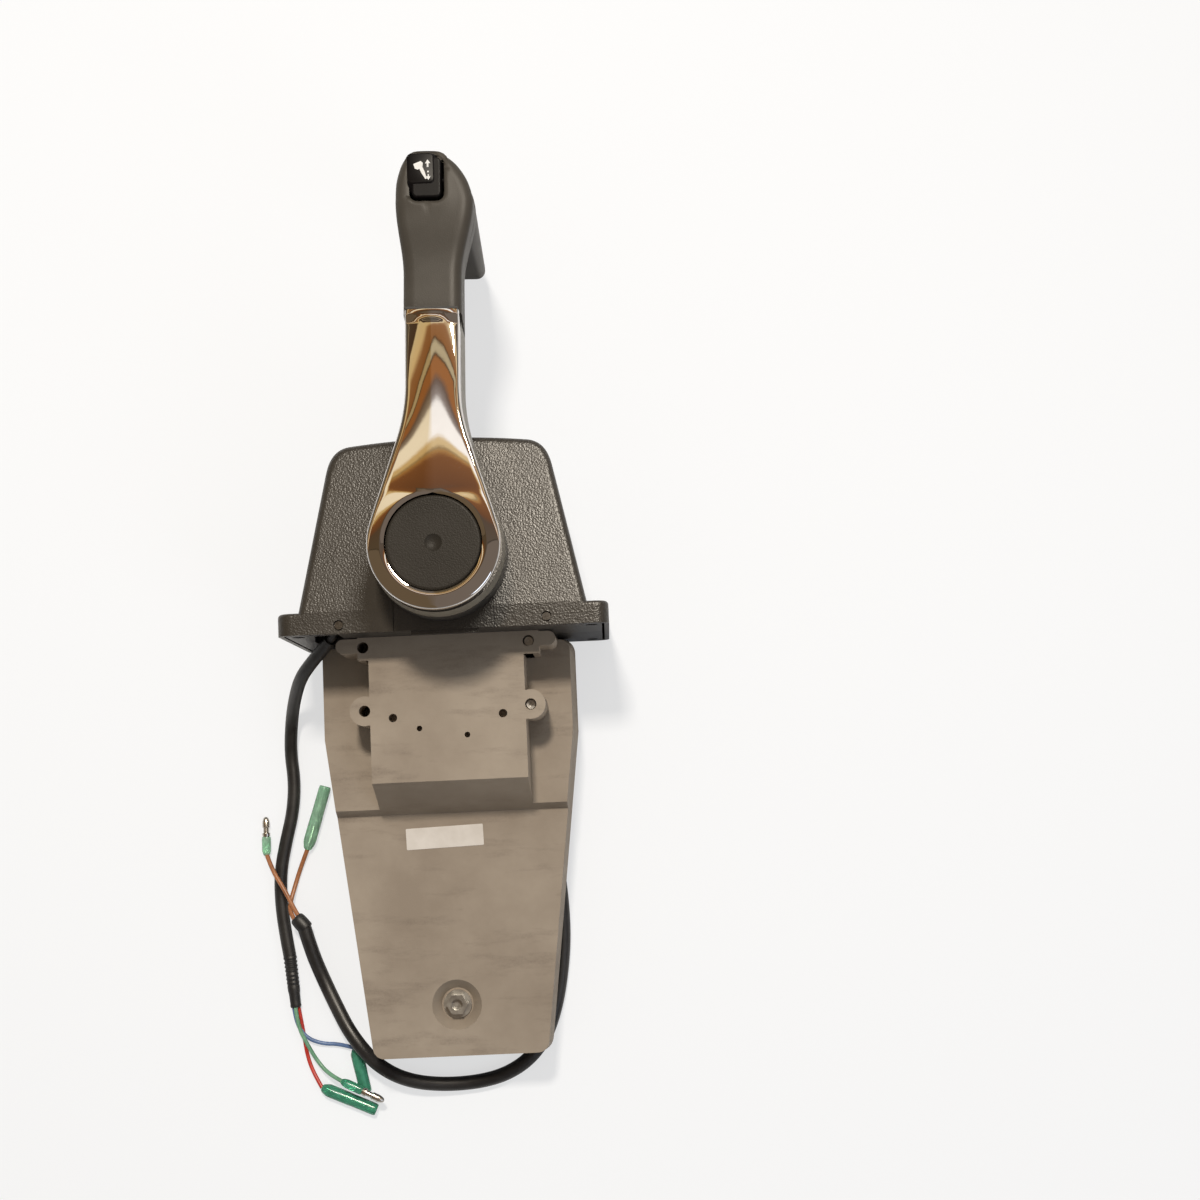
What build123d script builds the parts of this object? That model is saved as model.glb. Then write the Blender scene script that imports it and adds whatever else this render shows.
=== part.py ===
"""Boat throttle control: a single-lever remote control with a console flange and a cable case below it.

Frame, in millimetres: +X along the flange, +Y up the upright lever, +Z out of the hub face. The origin
is the centre of the console bolts, in the underside plane of the flange. The unit lies on its far side,
on the plane Z = floor_z.
"""

import os
from math import cos, pi, radians, sin, tan

from build123d import *

os.makedirs("parts", exist_ok=True)

# ---------------------------------------------------------------- driving dimensions
# Flange and cover shell
flange_length = 171.0
flange_depth = 112.0
flange_height = 11.5
flange_corner = 7.0
cover_wall = 2.5
cover_foot = 148.8
cover_shoulder = 119.0
cover_shoulder_height = 84.0
cover_height = 102.0
cover_draft = 10.0
cover_edge = 4.0
cover_corner = 14.0
cover_crown = 2.6
rim_gap = 1.3
screw_spacing = 106.8
screw_height = 4.3
cover_screw_radius = 1.4
cover_screw_head = 2.1
cover_recess = 2.75

# Base halves and console bolts
base_thickness = 5.0
base_split = 0.4
base_neck_gap = 0.5
base_lug = 5.0
console_boss = 5.5
base_screw_radius = 1.5
base_screw_head = 2.5
base_screw_length = 12.5
screw_clearance = 0.2
lead_opening = ((-54.5, 50.0), (-67.0, 46.0), (-72.0, 14.0), (-72.0, 3.0), (-54.5, 3.0))
console_spacing_x = 152.0
console_spacing_z = 88.0
console_hole = 3.3

# Hub
hub_x = 0.7
hub_y = 38.5
slot_radius = 26.0
slot_back = 44.0
panel_gap = 0.3
panel_lip = 2.0
panel_lip_half = 17.3
lip_thickness = 2.4
panel_hole = 23.4
collar_radius = 34.3
collar_bore = 24.0
shaft_radius = 8.0
running_fit = 0.05
bush_radius = 10.5

# Casting, with its levels along Z
case_x = -4.0
pad_x = -1.4
case_half_width = 70.0
case_straight = 52.0
case_foot_half_width = 48.4
case_length = 226.0
case_corner = 8.0
case_draft = 5.0
case_wall = 3.5
rim_z = -36.0
plate_z = -15.0
shelf_z = -7.0
pad_z = 26.0
pad_half_width = 41.5
pad_length = 77.0
pad_slope = 22.5
ear_half_width = 58.6
ear_top = 0.0
ear_height = 8.6
boss_x = 43.8
boss_y = 38.8
boss_radius = 8.3
pad_hole = 3.0
pad_screw_y = 5.2
pair_x = 29.0
pair_y = 43.0
pair_hole = 2.25
small_holes = ((-16.6, -49.1), (8.5, -53.4))
small_hole = 1.5
pad_hole_depth = 24.0
neck_half_width = 48.0
neck_top = 74.5
neck_corner = 30.0
front_boss_radius = 17.0
front_boss_z = 8.0
bush_wall = 3.5
pivot_boss = 11.0
pivot_boss_foot = -16.5
pivot_top = 10.0
pivot_seat_wall = 3.0
blind_depth = 9.0
blind_wall = 2.5
hub_boss_z = 48.0
nut_x = -5.4
dish_rise = 29.0
dish_radius = 13.4
dish_floor_radius = 8.6
dish_depth = 6.2

# Pad screws, clamp bolt and label plate
pad_screw_length = 19.5
bolt_across = 10.0
bolt_washer = 7.0
bolt_end_z = -17.8
nut_flange = 7.6
nut_height = 6.5
label_x = -8.8
label_y = -106.9
label_length = 42.0
label_width = 11.5
label_thickness = 0.3

# Far case
floor_z = -flange_depth / 2
washer_thickness = 1.6
bolt_head = 4.0
far_rim = 3.5
far_neck_z = -46.0
far_wall = 3.0
bulge_top = 0.5
bulge_inset = 12.0
bulge_step_y = 75.0
bulge_lower_inset = 24.0
bulge_corner = 4.5
gasket_thickness = 0.5
case_screw_inset = 7.5
case_screw_rise = (106.0, 56.0)
case_screw_radius = 2.0
case_screw_head = 3.4
case_screw_top = -22.0
case_post = 4.5
clamp_bolt_radius = 3.0
clamp_bolt_fit = 0.1
clamp_bolt_wall = 4.0
clamp_length = 24.0
clamp_top = -28.0
cable_outlet = 5.5
outlet_spread = 18.0
outlet_z = -26.0
gland_x = 45.5
gland_z = -45.2
gland_radius = 4.6
gland_flange = 5.0
inner_lead = 2.0

# Lever
lean = 1.6
lever_draft = 3.5
ring_radius = 34.2
flank_angle = 18.0
neck_half = 14.6
neck_blend = 90.0
joint_v = 117.0
joint_slope = 17.0
arm_back_z = 76.0
arm_front_z = 91.0
chrome_front_z = 104.0
gasket_gap = 1.0
grip_front_z = 100.5
grip_split_z = 84.0
grip_wall = 3.0
head_dome = ((20.8, 174.0), (17.2, 186.0), (9.5, 195.5), (-2.0, 200.0), (-12.5, 196.8), (-17.4, 186.0),
             (-18.4, 174.0))
head_centre = (1.2, 174.0)
head_flare = 38.0
bar_end_z = -30.0
bar_bottom = 167.0
bar_draft = 1.1
tang_half = 7.0
tang_top = 165.0
button_radius = 23.7
button_clearance = 0.5
button_front_z = 103.0
button_thickness = 5.0
button_travel = 5.0
dimple_sphere = 7.0
dimple_depth = 1.5
lever_boss = 14.0
clamp_screw_z = 64.0
clamp_screw_radius = 2.5
chrome_edge = 1.5
tang_foot = 90.0
lead_groove = 3.6
lead_start_v = 17.0
grip_screw_v = (135.0, 158.0)
grip_screw_radius = 1.8
grip_screw_head = 3.2
grip_screw_recess = 1.7
grip_edge = 4.0
bar_corner = 7.0
bar_edge = 2.0
stem_radius = 4.0
stem_low = 66.0
spring_bore = 6.0
spring_seat = 78.0
rocker_width = 16.4
rocker_height = 22.4
opening_width = 17.6
opening_height = 23.6
opening_corner = 4.0
rocker_v = 185.0
rocker_u = -2.3
rocker_back_z = 93.0
rocker_front_z = 102.0
rocker_pivot_z = 95.5
rocker_pin = 1.5
ear_span = 17.6
ear_width = 1.6
switch_length = 13.0
switch_back_z = 81.0
switch_top_z = 90.5

# Gear train
gear_module = 1.5
shift_pinion_teeth = 20
shift_gear_teeth = 50
throttle_pinion_teeth = 30
throttle_gear_teeth = 40
backlash = 0.5
arm_reach = 45.0
shift_rest = -120.0
throttle_rest = -60.0
pivot_radius = 6.0
cable_pin = 2.5
addendum = 1.2
dedendum = 1.65
flank = 22.0
gear_width = 7.0
shift_gear_z = -36.0
throttle_gear_z = -24.0
arm_thickness = 4.0
pin_length = 6.0
wheel_hub = 11.0
circlip_z = 6.6
circlip_thickness = 1.2

# Detent and neutral switch
detent_radius = 22.0
detent_width = 6.0
detent_step = 32.0
detent_notch = 3.4
touch_gap = 0.3
plunger_radius = 3.4
switch_plunger = 1.6
detent_z = -8.0
detent_boss_low = 66.0
detent_boss_top = 86.0
detent_boss_radius = 8.0
detent_spring_bore = 5.0
detent_seat = 70.0
detent_plug_y = 80.0
friction_z = 34.0
friction_screw_radius = 3.5
friction_tip = 3.5
friction_thread = 7.0
friction_key = 1.8
rear_bush_top = -37.5
pivot_seat_z = -41.0
pivot_low = -46.0
switch_z = -9.0
switch_pillar = (34.5, 38.5)
switch_side = 15.0
switch_height = 8.0
switch_screw_length = 14.0
switch_screw_radius = 1.2
switch_screw_places = ((37.0, 34.0), (37.0, 43.0))

# Leads and connectors
trim_lead_diameter = 7.2
neutral_lead_diameter = 7.8
trim_inner_diameter = 5.0
switch_lead_diameter = 3.0
gland_length = 4.0
signal_wire = 2.2
brown_wire = 2.5
sleeve_radius = 3.6
bullet_radius = 3.0

# ---------------------------------------------------------------- shared shapes


def case_half(y):
    """Half width of the casting's outline at the height y."""
    slope = (case_half_width - case_foot_half_width) / (case_length - case_straight)
    return case_half_width - slope * max(0, -y - case_straight)


def write(piece, name):
    """Labels a finished piece and writes it under its own name."""
    piece.part.label = name
    export_step(piece.part, f"parts/{name}.step")


def cover_block(inset, bottom):
    """The cover's solid outer form, drawn in by a wall thickness, from the given bottom up."""
    half_depth = flange_depth / 2 - inset
    with BuildPart() as block:
        with BuildSketch(Plane.XY):
            with BuildLine():
                foot = (cover_foot / 2 - inset, flange_height)
                shoulder = (cover_shoulder / 2 - inset, cover_shoulder_height)
                crown = (cover_shoulder / 2 - cover_corner, cover_height - cover_crown - inset)
                Polyline((-foot[0], bottom), (foot[0], bottom), foot, shoulder)
                Spline(shoulder, crown, tangents=((-0.2, 1), (-1, 0.07)))
                ThreePointArc(crown, (0, cover_height - inset), (-crown[0], crown[1]))
                Spline((-crown[0], crown[1]), (-shoulder[0], shoulder[1]),
                       tangents=((-1, -0.07), (-0.2, -1)))
                Polyline((-shoulder[0], shoulder[1]), (-foot[0], foot[1]), (-foot[0], bottom))
            make_face()
        extrude(amount=flange_depth / 2, both=True)
        with BuildSketch(Plane.YZ):
            with BuildLine():
                top = cover_height + 1
                top_half = half_depth - cover_draft * (top - flange_height) / (cover_height - flange_height)
                Polyline((bottom, -half_depth), (flange_height, -half_depth), (top, -top_half),
                         (top, top_half), (flange_height, half_depth), (bottom, half_depth),
                         (bottom, -half_depth))
            make_face()
        extrude(amount=flange_length, both=True, mode=Mode.INTERSECT)
        if inset == 0:
            fronts = block.faces().filter_by(lambda face: abs(face.normal_at().Z) > 0.95)
            raised = fronts.filter_by(lambda face: face.center().Y > 2 * flange_height)
            fillet(raised.edges().filter_by(lambda edge: edge.center().Y > flange_height + 1), cover_edge)
    return block.part


def flange_block(inset, low, high):
    """The flange's slab, with rounded ends."""
    with BuildPart() as block:
        with BuildSketch(Plane.XZ.offset(-low)):
            RectangleRounded(flange_length - 2 * inset, flange_depth - 2 * inset,
                             max(flange_corner - inset, 2.0))
        extrude(amount=-(high - low))
    return block.part


def case_outline(inset):
    """Front outline of the casting's tapered body, drawn in by an inset."""
    with BuildSketch() as outline:
        with BuildLine():
            foot = (case_foot_half_width, -case_length)
            Polyline((case_x - case_half_width, 0), (case_x - case_half_width, -case_straight),
                     (case_x - foot[0], foot[1]), (case_x + foot[0], foot[1]),
                     (case_x + case_half_width, -case_straight), (case_x + case_half_width, 0),
                     (case_x - case_half_width, 0))
        make_face()
        fillet(outline.vertices().group_by(Axis.Y)[0], case_corner)
        fillet(outline.vertices().group_by(Axis.Y)[-1], case_corner)
        if inset > 0:
            offset(amount=-inset)
    return outline.sketch


def neck_outline(inset, bottom):
    """Outline of the casting's neck and gear chamber, which stand up inside the cover."""
    with BuildSketch() as outline:
        with BuildLine():
            half = neck_half_width - inset
            Polyline((-half, bottom), (half, bottom), (half, neck_top - inset), (-half, neck_top - inset),
                     (-half, bottom))
        make_face()
        fillet(outline.vertices().group_by(Axis.Y)[-1], neck_corner - inset)
    return outline.sketch


def pad_outline(inset):
    """Outline of the raised pad. The outer one has the ears and the screw bosses."""
    with BuildSketch() as outline:
        with Locations((pad_x, -pad_length / 2)):
            Rectangle(2 * (pad_half_width - inset), pad_length + 44)
        if inset == 0:
            with Locations((pad_x, -ear_top - ear_height / 2)):
                SlotOverall(2 * ear_half_width, ear_height)
            with Locations((pad_x - boss_x, -boss_y), (pad_x + boss_x, -boss_y)):
                Circle(boss_radius)
    return outline.sketch


def case_block(inset):
    """The near case's solid form with its three levels, drawn in by a wall thickness."""
    slope = tan(radians(pad_slope))
    shift = inset / cos(radians(pad_slope))
    with BuildPart() as block:
        with BuildSketch(Plane.XY.offset(rim_z)):
            add(case_outline(inset))
        extrude(amount=shelf_z - rim_z - inset, taper=case_draft)
        with BuildSketch(Plane.XY.offset(rim_z + 8)):
            add(pad_outline(inset))
        extrude(amount=pad_z - inset - rim_z - 8, taper=0.5)
        with BuildSketch(Plane.YZ):
            with BuildLine():
                crest = (-pad_length + shift + slope * 4, pad_z + 4)
                foot = (-pad_length + shift + slope * (plate_z - inset - pad_z), plate_z - inset)
                Polyline(crest, foot, (-case_length - 30, foot[1]), (-case_length - 30, crest[1]), crest)
            make_face()
        extrude(amount=flange_length, both=True, mode=Mode.SUBTRACT)
        with Locations((0, neck_top - inset, 0)):
            Box(4 * flange_length, 2 * (neck_top - inset), 4 * flange_length, mode=Mode.SUBTRACT)
        with BuildSketch(Plane.XY.offset(rim_z)):
            add(neck_outline(inset, -12))
        extrude(amount=pad_z - inset - rim_z)
    return block.part


def bulge_outline(inset):
    """Outline of the far case's raised back, which steps in below the gland of the switch lead."""
    top = -bulge_top - inset
    step = -bulge_step_y + inset
    foot = -case_length + bulge_inset + inset
    side = [(case_half_width - bulge_inset - inset, top),
            (case_half_width - bulge_inset - inset, -case_straight),
            (case_half(-bulge_step_y) - bulge_inset - inset, step),
            (case_half(-bulge_step_y) - bulge_lower_inset - inset, step),
            (case_half(foot) - bulge_lower_inset - inset, foot)]
    with BuildSketch() as outline:
        with BuildLine():
            right = [(case_x + half, y) for half, y in side]
            left = [(case_x - half, y) for half, y in reversed(side)]
            Polyline(*right, *left, close=True)
        make_face()
        fillet(outline.vertices().group_by(Axis.Y)[0], bulge_corner - inset)
        fillet(outline.vertices().group_by(Axis.Y)[-1], bulge_corner - inset)
    return outline.sketch


def lever_plane(z):
    """The lever's own frame: u across it, v along it from the hub, at the height z."""
    across = (cos(radians(lean)), -sin(radians(lean)), 0)
    return Plane(origin=(hub_x, hub_y, z), x_dir=across, z_dir=(0, 0, 1))


def lever_outline(reach, change):
    """Teardrop outline of the lever, from the hub ring to the neck, grown or drawn in by a change."""
    turn = radians(flank_angle)
    tangent = (ring_radius * cos(turn), ring_radius * sin(turn))
    corner = (neck_half, tangent[1] + (tangent[0] - neck_half) / tan(turn))
    with BuildSketch() as outline:
        with BuildLine():
            Polyline((neck_half, reach), (-neck_half, reach), (-corner[0], corner[1]),
                     (-tangent[0], tangent[1]), tangent, corner, (neck_half, reach))
        make_face()
        bends = outline.vertices().filter_by(lambda vertex: abs(vertex.Y - corner[1]) < 0.01)
        fillet(bends, neck_blend)
        Circle(ring_radius)
        if change != 0:
            offset(amount=change)
    return outline.sketch


def head_outline(low, inset):
    """Outline of the grip's arm and head, drawn in by a wall thickness."""
    half = neck_half - inset
    dome = []
    for u, v in head_dome:
        away = Vector(u - head_centre[0], v - head_centre[1]).normalized()
        dome.append((u - inset * away.X, v - inset * away.Y))
    left_foot = (-half, dome[0][1] - head_flare)
    right_foot = (half, dome[0][1] - head_flare)
    with BuildSketch() as outline:
        with BuildLine():
            Polyline(left_foot, (-half, low), (half, low), right_foot)
            Spline(right_foot, dome[0], tangents=((0, 1), (0, 1)))
            Spline(*dome, tangents=((0, 1), (0, -1)))
            Spline(dome[-1], left_foot, tangents=((0, -1), (0, -1)))
        make_face()
    return outline.sketch


def cover_skin():
    """The whole grained skin of the cover and its flange, before the shaft slot is cut in it."""
    with BuildPart() as skin:
        add(flange_block(0, 0, flange_height))
        fillet(skin.faces().sort_by(Axis.Y)[-1].edges(), 2.0)
        add(cover_block(0, 0))
        add(flange_block(cover_wall, -1, flange_height - cover_wall), mode=Mode.SUBTRACT)
        add(cover_block(cover_wall, -1), mode=Mode.SUBTRACT)
    return skin.part


def slot_outline(gap):
    """Front outline of the shaft slot: a round top, and straight sides down through the flange."""
    with BuildSketch() as outline:
        with Locations((hub_x, hub_y)):
            Circle(slot_radius - gap)
        with Locations((hub_x, hub_y / 2 - 1)):
            Rectangle(2 * (slot_radius - gap), hub_y + 2)
    return outline.sketch


# ---------------------------------------------------------------- places that pieces share
hub = (hub_x, hub_y)
cover_screw_places = [(side * screw_spacing / 2, screw_height) for side in (-1, 1)]
cover_screw_floor = flange_depth / 2 - 1.7
base_screw_places = [(-51.5, 12.0), (51.5, 12.0), (case_x - 57.0, -14.0), (case_x + 57.0, -14.0)]
case_screw_places = []
for side in (-1, 1):
    for y in (-14.0, -45.0, case_screw_rise[0] - case_length, case_screw_rise[1] - case_length):
        case_screw_places.append((case_x + side * (case_half(y) - case_screw_inset), y))
    case_screw_places.append((case_x + side * 30.0, -case_length + case_screw_inset))
    corner = (neck_half_width - neck_corner, neck_top - neck_corner)
    reach = (neck_corner - case_screw_inset) * cos(radians(45))
    case_screw_places.append((side * (corner[0] + reach), corner[1] + reach))
far_plate_z = rim_z - gasket_thickness - far_rim
bulge_z = floor_z + bolt_head + washer_thickness
nut_place = (nut_x, dish_rise - case_length)
pivot = (hub_x, hub_y - gear_module * (shift_pinion_teeth + shift_gear_teeth) / 2)
through = 2 * flange_length

# ---------------------------------------------------------------- cover shell and hub panel
with BuildPart() as cover_shell:
    add(cover_skin())
    with BuildSketch(Plane.XY.offset(slot_back)):
        add(slot_outline(0))
    extrude(amount=flange_depth, mode=Mode.SUBTRACT)
    for side in (-1, 1):
        for x, y in cover_screw_places:
            with Locations((x, y, side * flange_depth / 2)):
                Cylinder(cover_screw_radius + 0.1, 4 * cover_wall, mode=Mode.SUBTRACT)
            with Locations((x, y, side * flange_depth / 2)):
                Cylinder(cover_recess, 2 * (flange_depth / 2 - cover_screw_floor), mode=Mode.SUBTRACT)
write(cover_shell, "cover_shell")

with BuildPart() as hub_panel:
    add(cover_skin())
    with BuildSketch(Plane.XY.offset(slot_back)):
        add(slot_outline(panel_gap))
    extrude(amount=flange_depth, mode=Mode.INTERSECT)
    with BuildSketch(Plane.XY.offset(slot_back)):
        with Locations(hub):
            Circle(panel_hole)
    extrude(amount=flange_depth, mode=Mode.SUBTRACT)
    lip_height = flange_height - cover_wall + panel_lip
    with Locations((hub_x, lip_height / 2 - panel_lip, flange_depth / 2 - cover_wall - lip_thickness / 2)):
        Box(2 * panel_lip_half, lip_height, lip_thickness)
write(hub_panel, "hub_panel")

with BuildPart() as hub_collar:
    with BuildSketch(Plane.XY.offset(slot_back)):
        with Locations(hub):
            Circle(collar_radius)
            Circle(collar_bore, mode=Mode.SUBTRACT)
    extrude(amount=arm_back_z - touch_gap - slot_back)
    add(cover_block(0, 0), mode=Mode.SUBTRACT)
write(hub_collar, "hub_collar")

with BuildPart() as cover_screws:
    for side in (-1, 1):
        for x, y in cover_screw_places:
            with BuildSketch(Plane((x, y, side * cover_screw_floor), z_dir=(0, 0, side))):
                Circle(cover_screw_head)
            extrude(amount=1.3)
            with BuildSketch(Plane((x, y, side * cover_screw_floor), z_dir=(0, 0, -side))):
                Circle(cover_screw_radius)
            extrude(amount=10.0)
write(cover_screws, "cover_screws")

# ---------------------------------------------------------------- base plate, in two halves
with BuildPart() as base_plate:
    add(flange_block(cover_wall + rim_gap, 0, base_thickness))
    with Locations(*[(x, 0, z) for x in (-console_spacing_x / 2, console_spacing_x / 2)
                     for z in (-console_spacing_z / 2, console_spacing_z / 2)]):
        Cylinder(console_boss, flange_height - cover_wall, rotation=(-90, 0, 0),
                 align=(Align.CENTER, Align.CENTER, Align.MIN))
        Cylinder(console_hole, 4 * flange_height, rotation=(90, 0, 0), mode=Mode.SUBTRACT)
    lug_height = flange_height - cover_wall - 0.4
    for side in (-1, 1):
        with Locations(*[(x, lug_height / 2, side * (flange_depth / 2 - cover_wall - base_lug))
                         for x, y in cover_screw_places]):
            Box(2 * base_lug, lug_height, 2 * base_lug)
        with Locations(*[Location((x, y, side * flange_depth / 2)) for x, y in cover_screw_places]):
            Cylinder(cover_screw_radius, 6 * base_lug, mode=Mode.SUBTRACT)
    neck_low = far_neck_z - 1.5
    neck_high = pad_z + base_neck_gap
    with Locations((0, 0, (neck_low + neck_high) / 2)):
        Box(2 * (neck_half_width + base_neck_gap), 6 * base_thickness, neck_high - neck_low,
            mode=Mode.SUBTRACT)
    with BuildSketch(Plane.XZ):
        with BuildLine():
            Polyline(*lead_opening, close=True)
        make_face()
    extrude(amount=-base_thickness, both=True, mode=Mode.SUBTRACT)
    with Locations(*[(x, 0, z) for x, z in base_screw_places]):
        Cylinder(base_screw_radius + screw_clearance, 4 * base_thickness, rotation=(90, 0, 0),
                 mode=Mode.SUBTRACT)
    with Locations((hub_x, 0, flange_depth / 2 - cover_wall)):
        Box(2 * (panel_lip_half + panel_gap), 4 * base_thickness, 2 * (lip_thickness + panel_gap),
            mode=Mode.SUBTRACT)

for half, side in (("near", 1), ("far", -1)):
    with BuildPart() as base_half:
        add(base_plate.part)
        with Locations((0, 0, -side * (flange_depth - base_split / 2))):
            Box(2 * flange_length, 6 * flange_height, 2 * flange_depth, mode=Mode.SUBTRACT)
    write(base_half, f"base_{half}_half")

# ---------------------------------------------------------------- near case: the painted casting
with BuildPart() as near_case:
    add(case_block(0))
    add(case_block(case_wall), mode=Mode.SUBTRACT)
    # the hollow runs on through the neck, from the lower cavity up to the shaft
    with BuildSketch(Plane.XY.offset(rim_z)):
        with Locations((0, -10)):
            Rectangle(2 * (neck_half_width - case_wall), 24)
    extrude(amount=shelf_z - case_wall - rim_z, mode=Mode.SUBTRACT)
    # bosses around the shaft, the pivot pin and the detent
    with Locations((hub_x, hub_y, front_boss_z)):
        Cylinder(front_boss_radius, hub_boss_z - front_boss_z, align=(Align.CENTER, Align.CENTER, Align.MIN))
    with Locations((*pivot, pivot_boss_foot)):
        Cylinder(pivot_boss, pad_z - 2.0 - pivot_boss_foot, align=(Align.CENTER, Align.CENTER, Align.MIN))
    with Locations((hub_x, detent_boss_low, detent_z)):
        Cylinder(detent_boss_radius, detent_boss_top - detent_boss_low, rotation=(-90, 0, 0),
                 align=(Align.CENTER, Align.CENTER, Align.MIN))
    with Locations((*switch_pillar, switch_z + switch_height / 2)):
        Box(switch_side - 4.0, switch_side - 2.0, pad_z - 2.0 - switch_z - switch_height / 2,
            align=(Align.CENTER, Align.CENTER, Align.MIN))
    # posts for the screws of the far case, the base plate and the cable clamp
    with Locations(*[(x, y, rim_z) for x, y in case_screw_places]):
        Cylinder(case_post, case_screw_top + 4.0 - rim_z, align=(Align.CENTER, Align.CENTER, Align.MIN))
    with Locations(*[(x, -1.0, z) for x, z in base_screw_places if z < 0]):
        Cylinder(base_screw_radius + blind_wall, blind_depth, rotation=(90, 0, 0),
                 align=(Align.CENTER, Align.CENTER, Align.MIN))
    with Locations((*nut_place, clamp_top)):
        Cylinder(dish_floor_radius + 2.4, plate_z - 1.0 - clamp_top,
                 align=(Align.CENTER, Align.CENTER, Align.MIN))
    with Locations((*nut_place, plate_z - dish_depth - 2.5)):
        Cone(dish_floor_radius + 2.0, dish_radius + 3.5, dish_depth + 1.5,
             align=(Align.CENTER, Align.CENTER, Align.MIN))
    blind_foot = pad_z - case_wall - blind_depth + 1.0
    with Locations(*[(pad_x + side * pair_x, -pair_y, blind_foot) for side in (-1, 1)]):
        Cylinder(pair_hole + blind_wall, blind_depth, align=(Align.CENTER, Align.CENTER, Align.MIN))
    with Locations(*[(x, y, blind_foot) for x, y in small_holes]):
        Cylinder(small_hole + blind_wall, blind_depth, align=(Align.CENTER, Align.CENTER, Align.MIN))
    # holes and bores
    with Locations((hub_x, hub_y, 0)):
        Cylinder(bush_radius, 2 * pad_z, mode=Mode.SUBTRACT)
    with Locations((hub_x, hub_y, pad_z)):
        Cylinder(shaft_radius + 0.4, 2 * (hub_boss_z - pad_z + 1), mode=Mode.SUBTRACT)
    with Locations((*pivot, pivot_top)):
        Cylinder(pivot_radius, pivot_top - floor_z, align=(Align.CENTER, Align.CENTER, Align.MAX),
                 mode=Mode.SUBTRACT)
    with Locations((hub_x, detent_boss_top, detent_z)):
        Cylinder(plunger_radius + running_fit, 3 * (detent_boss_top - detent_boss_low), rotation=(90, 0, 0),
                 mode=Mode.SUBTRACT)
    with Locations((hub_x, detent_boss_top, detent_z)):
        Cylinder(detent_spring_bore, 2 * (detent_boss_top - detent_seat), rotation=(90, 0, 0),
                 mode=Mode.SUBTRACT)
    for x, y in case_screw_places:
        with Locations((x, y, rim_z)):
            Cylinder(case_screw_radius, 2 * (case_screw_top - rim_z), mode=Mode.SUBTRACT)
    for x, z in base_screw_places:
        with Locations((x, 0, z)):
            Cylinder(base_screw_radius, 2 * (base_screw_length - base_thickness + 0.5), rotation=(90, 0, 0),
                     mode=Mode.SUBTRACT)
    with Locations((*nut_place, plate_z - dish_depth)):
        Cone(dish_floor_radius, dish_radius, dish_depth, align=(Align.CENTER, Align.CENTER, Align.MIN),
             mode=Mode.SUBTRACT)
    with Locations((*nut_place, clamp_top)):
        Cylinder(clamp_bolt_radius + clamp_bolt_fit, through, mode=Mode.SUBTRACT)
    for x in (pad_x - boss_x, pad_x + boss_x):
        for y in (-pad_screw_y, -boss_y):
            with Locations((x, y, pad_z)):
                Cylinder(pad_hole, 2 * pad_hole_depth, mode=Mode.SUBTRACT)
    for side in (-1, 1):
        with Locations((pad_x + side * pair_x, -pair_y, pad_z)):
            Cylinder(pair_hole, 2 * blind_depth, mode=Mode.SUBTRACT)
    for x, y in small_holes:
        with Locations((x, y, pad_z)):
            Cylinder(small_hole, 2 * blind_depth - 2.0, mode=Mode.SUBTRACT)
    for side in (-1, 1):
        with Locations((case_x + side * outlet_spread, -case_length, outlet_z)):
            Cylinder(cable_outlet, 4 * case_wall, rotation=(90, 0, 0), mode=Mode.SUBTRACT)
    with Locations((hub_x, hub_y + shaft_radius, friction_z)):
        Cylinder(friction_screw_radius, 2 * front_boss_radius, rotation=(-90, 0, 0),
                 align=(Align.CENTER, Align.CENTER, Align.MIN), mode=Mode.SUBTRACT)
    for x, y in switch_screw_places:
        with Locations((x, y, switch_z + switch_height / 2)):
            Cylinder(switch_screw_radius, 2 * switch_height, mode=Mode.SUBTRACT)
write(near_case, "near_case")

with BuildPart() as case_gasket:
    with BuildSketch(Plane.XY.offset(rim_z - gasket_thickness)):
        add(case_outline(0))
        add(neck_outline(0, -12))
        add(case_outline(case_wall), mode=Mode.SUBTRACT)
        add(neck_outline(case_wall, -16), mode=Mode.SUBTRACT)
        with Locations(*case_screw_places):
            Circle(case_post)
            Circle(case_screw_radius + screw_clearance, mode=Mode.SUBTRACT)
    extrude(amount=gasket_thickness)
write(case_gasket, "case_gasket")

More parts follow.
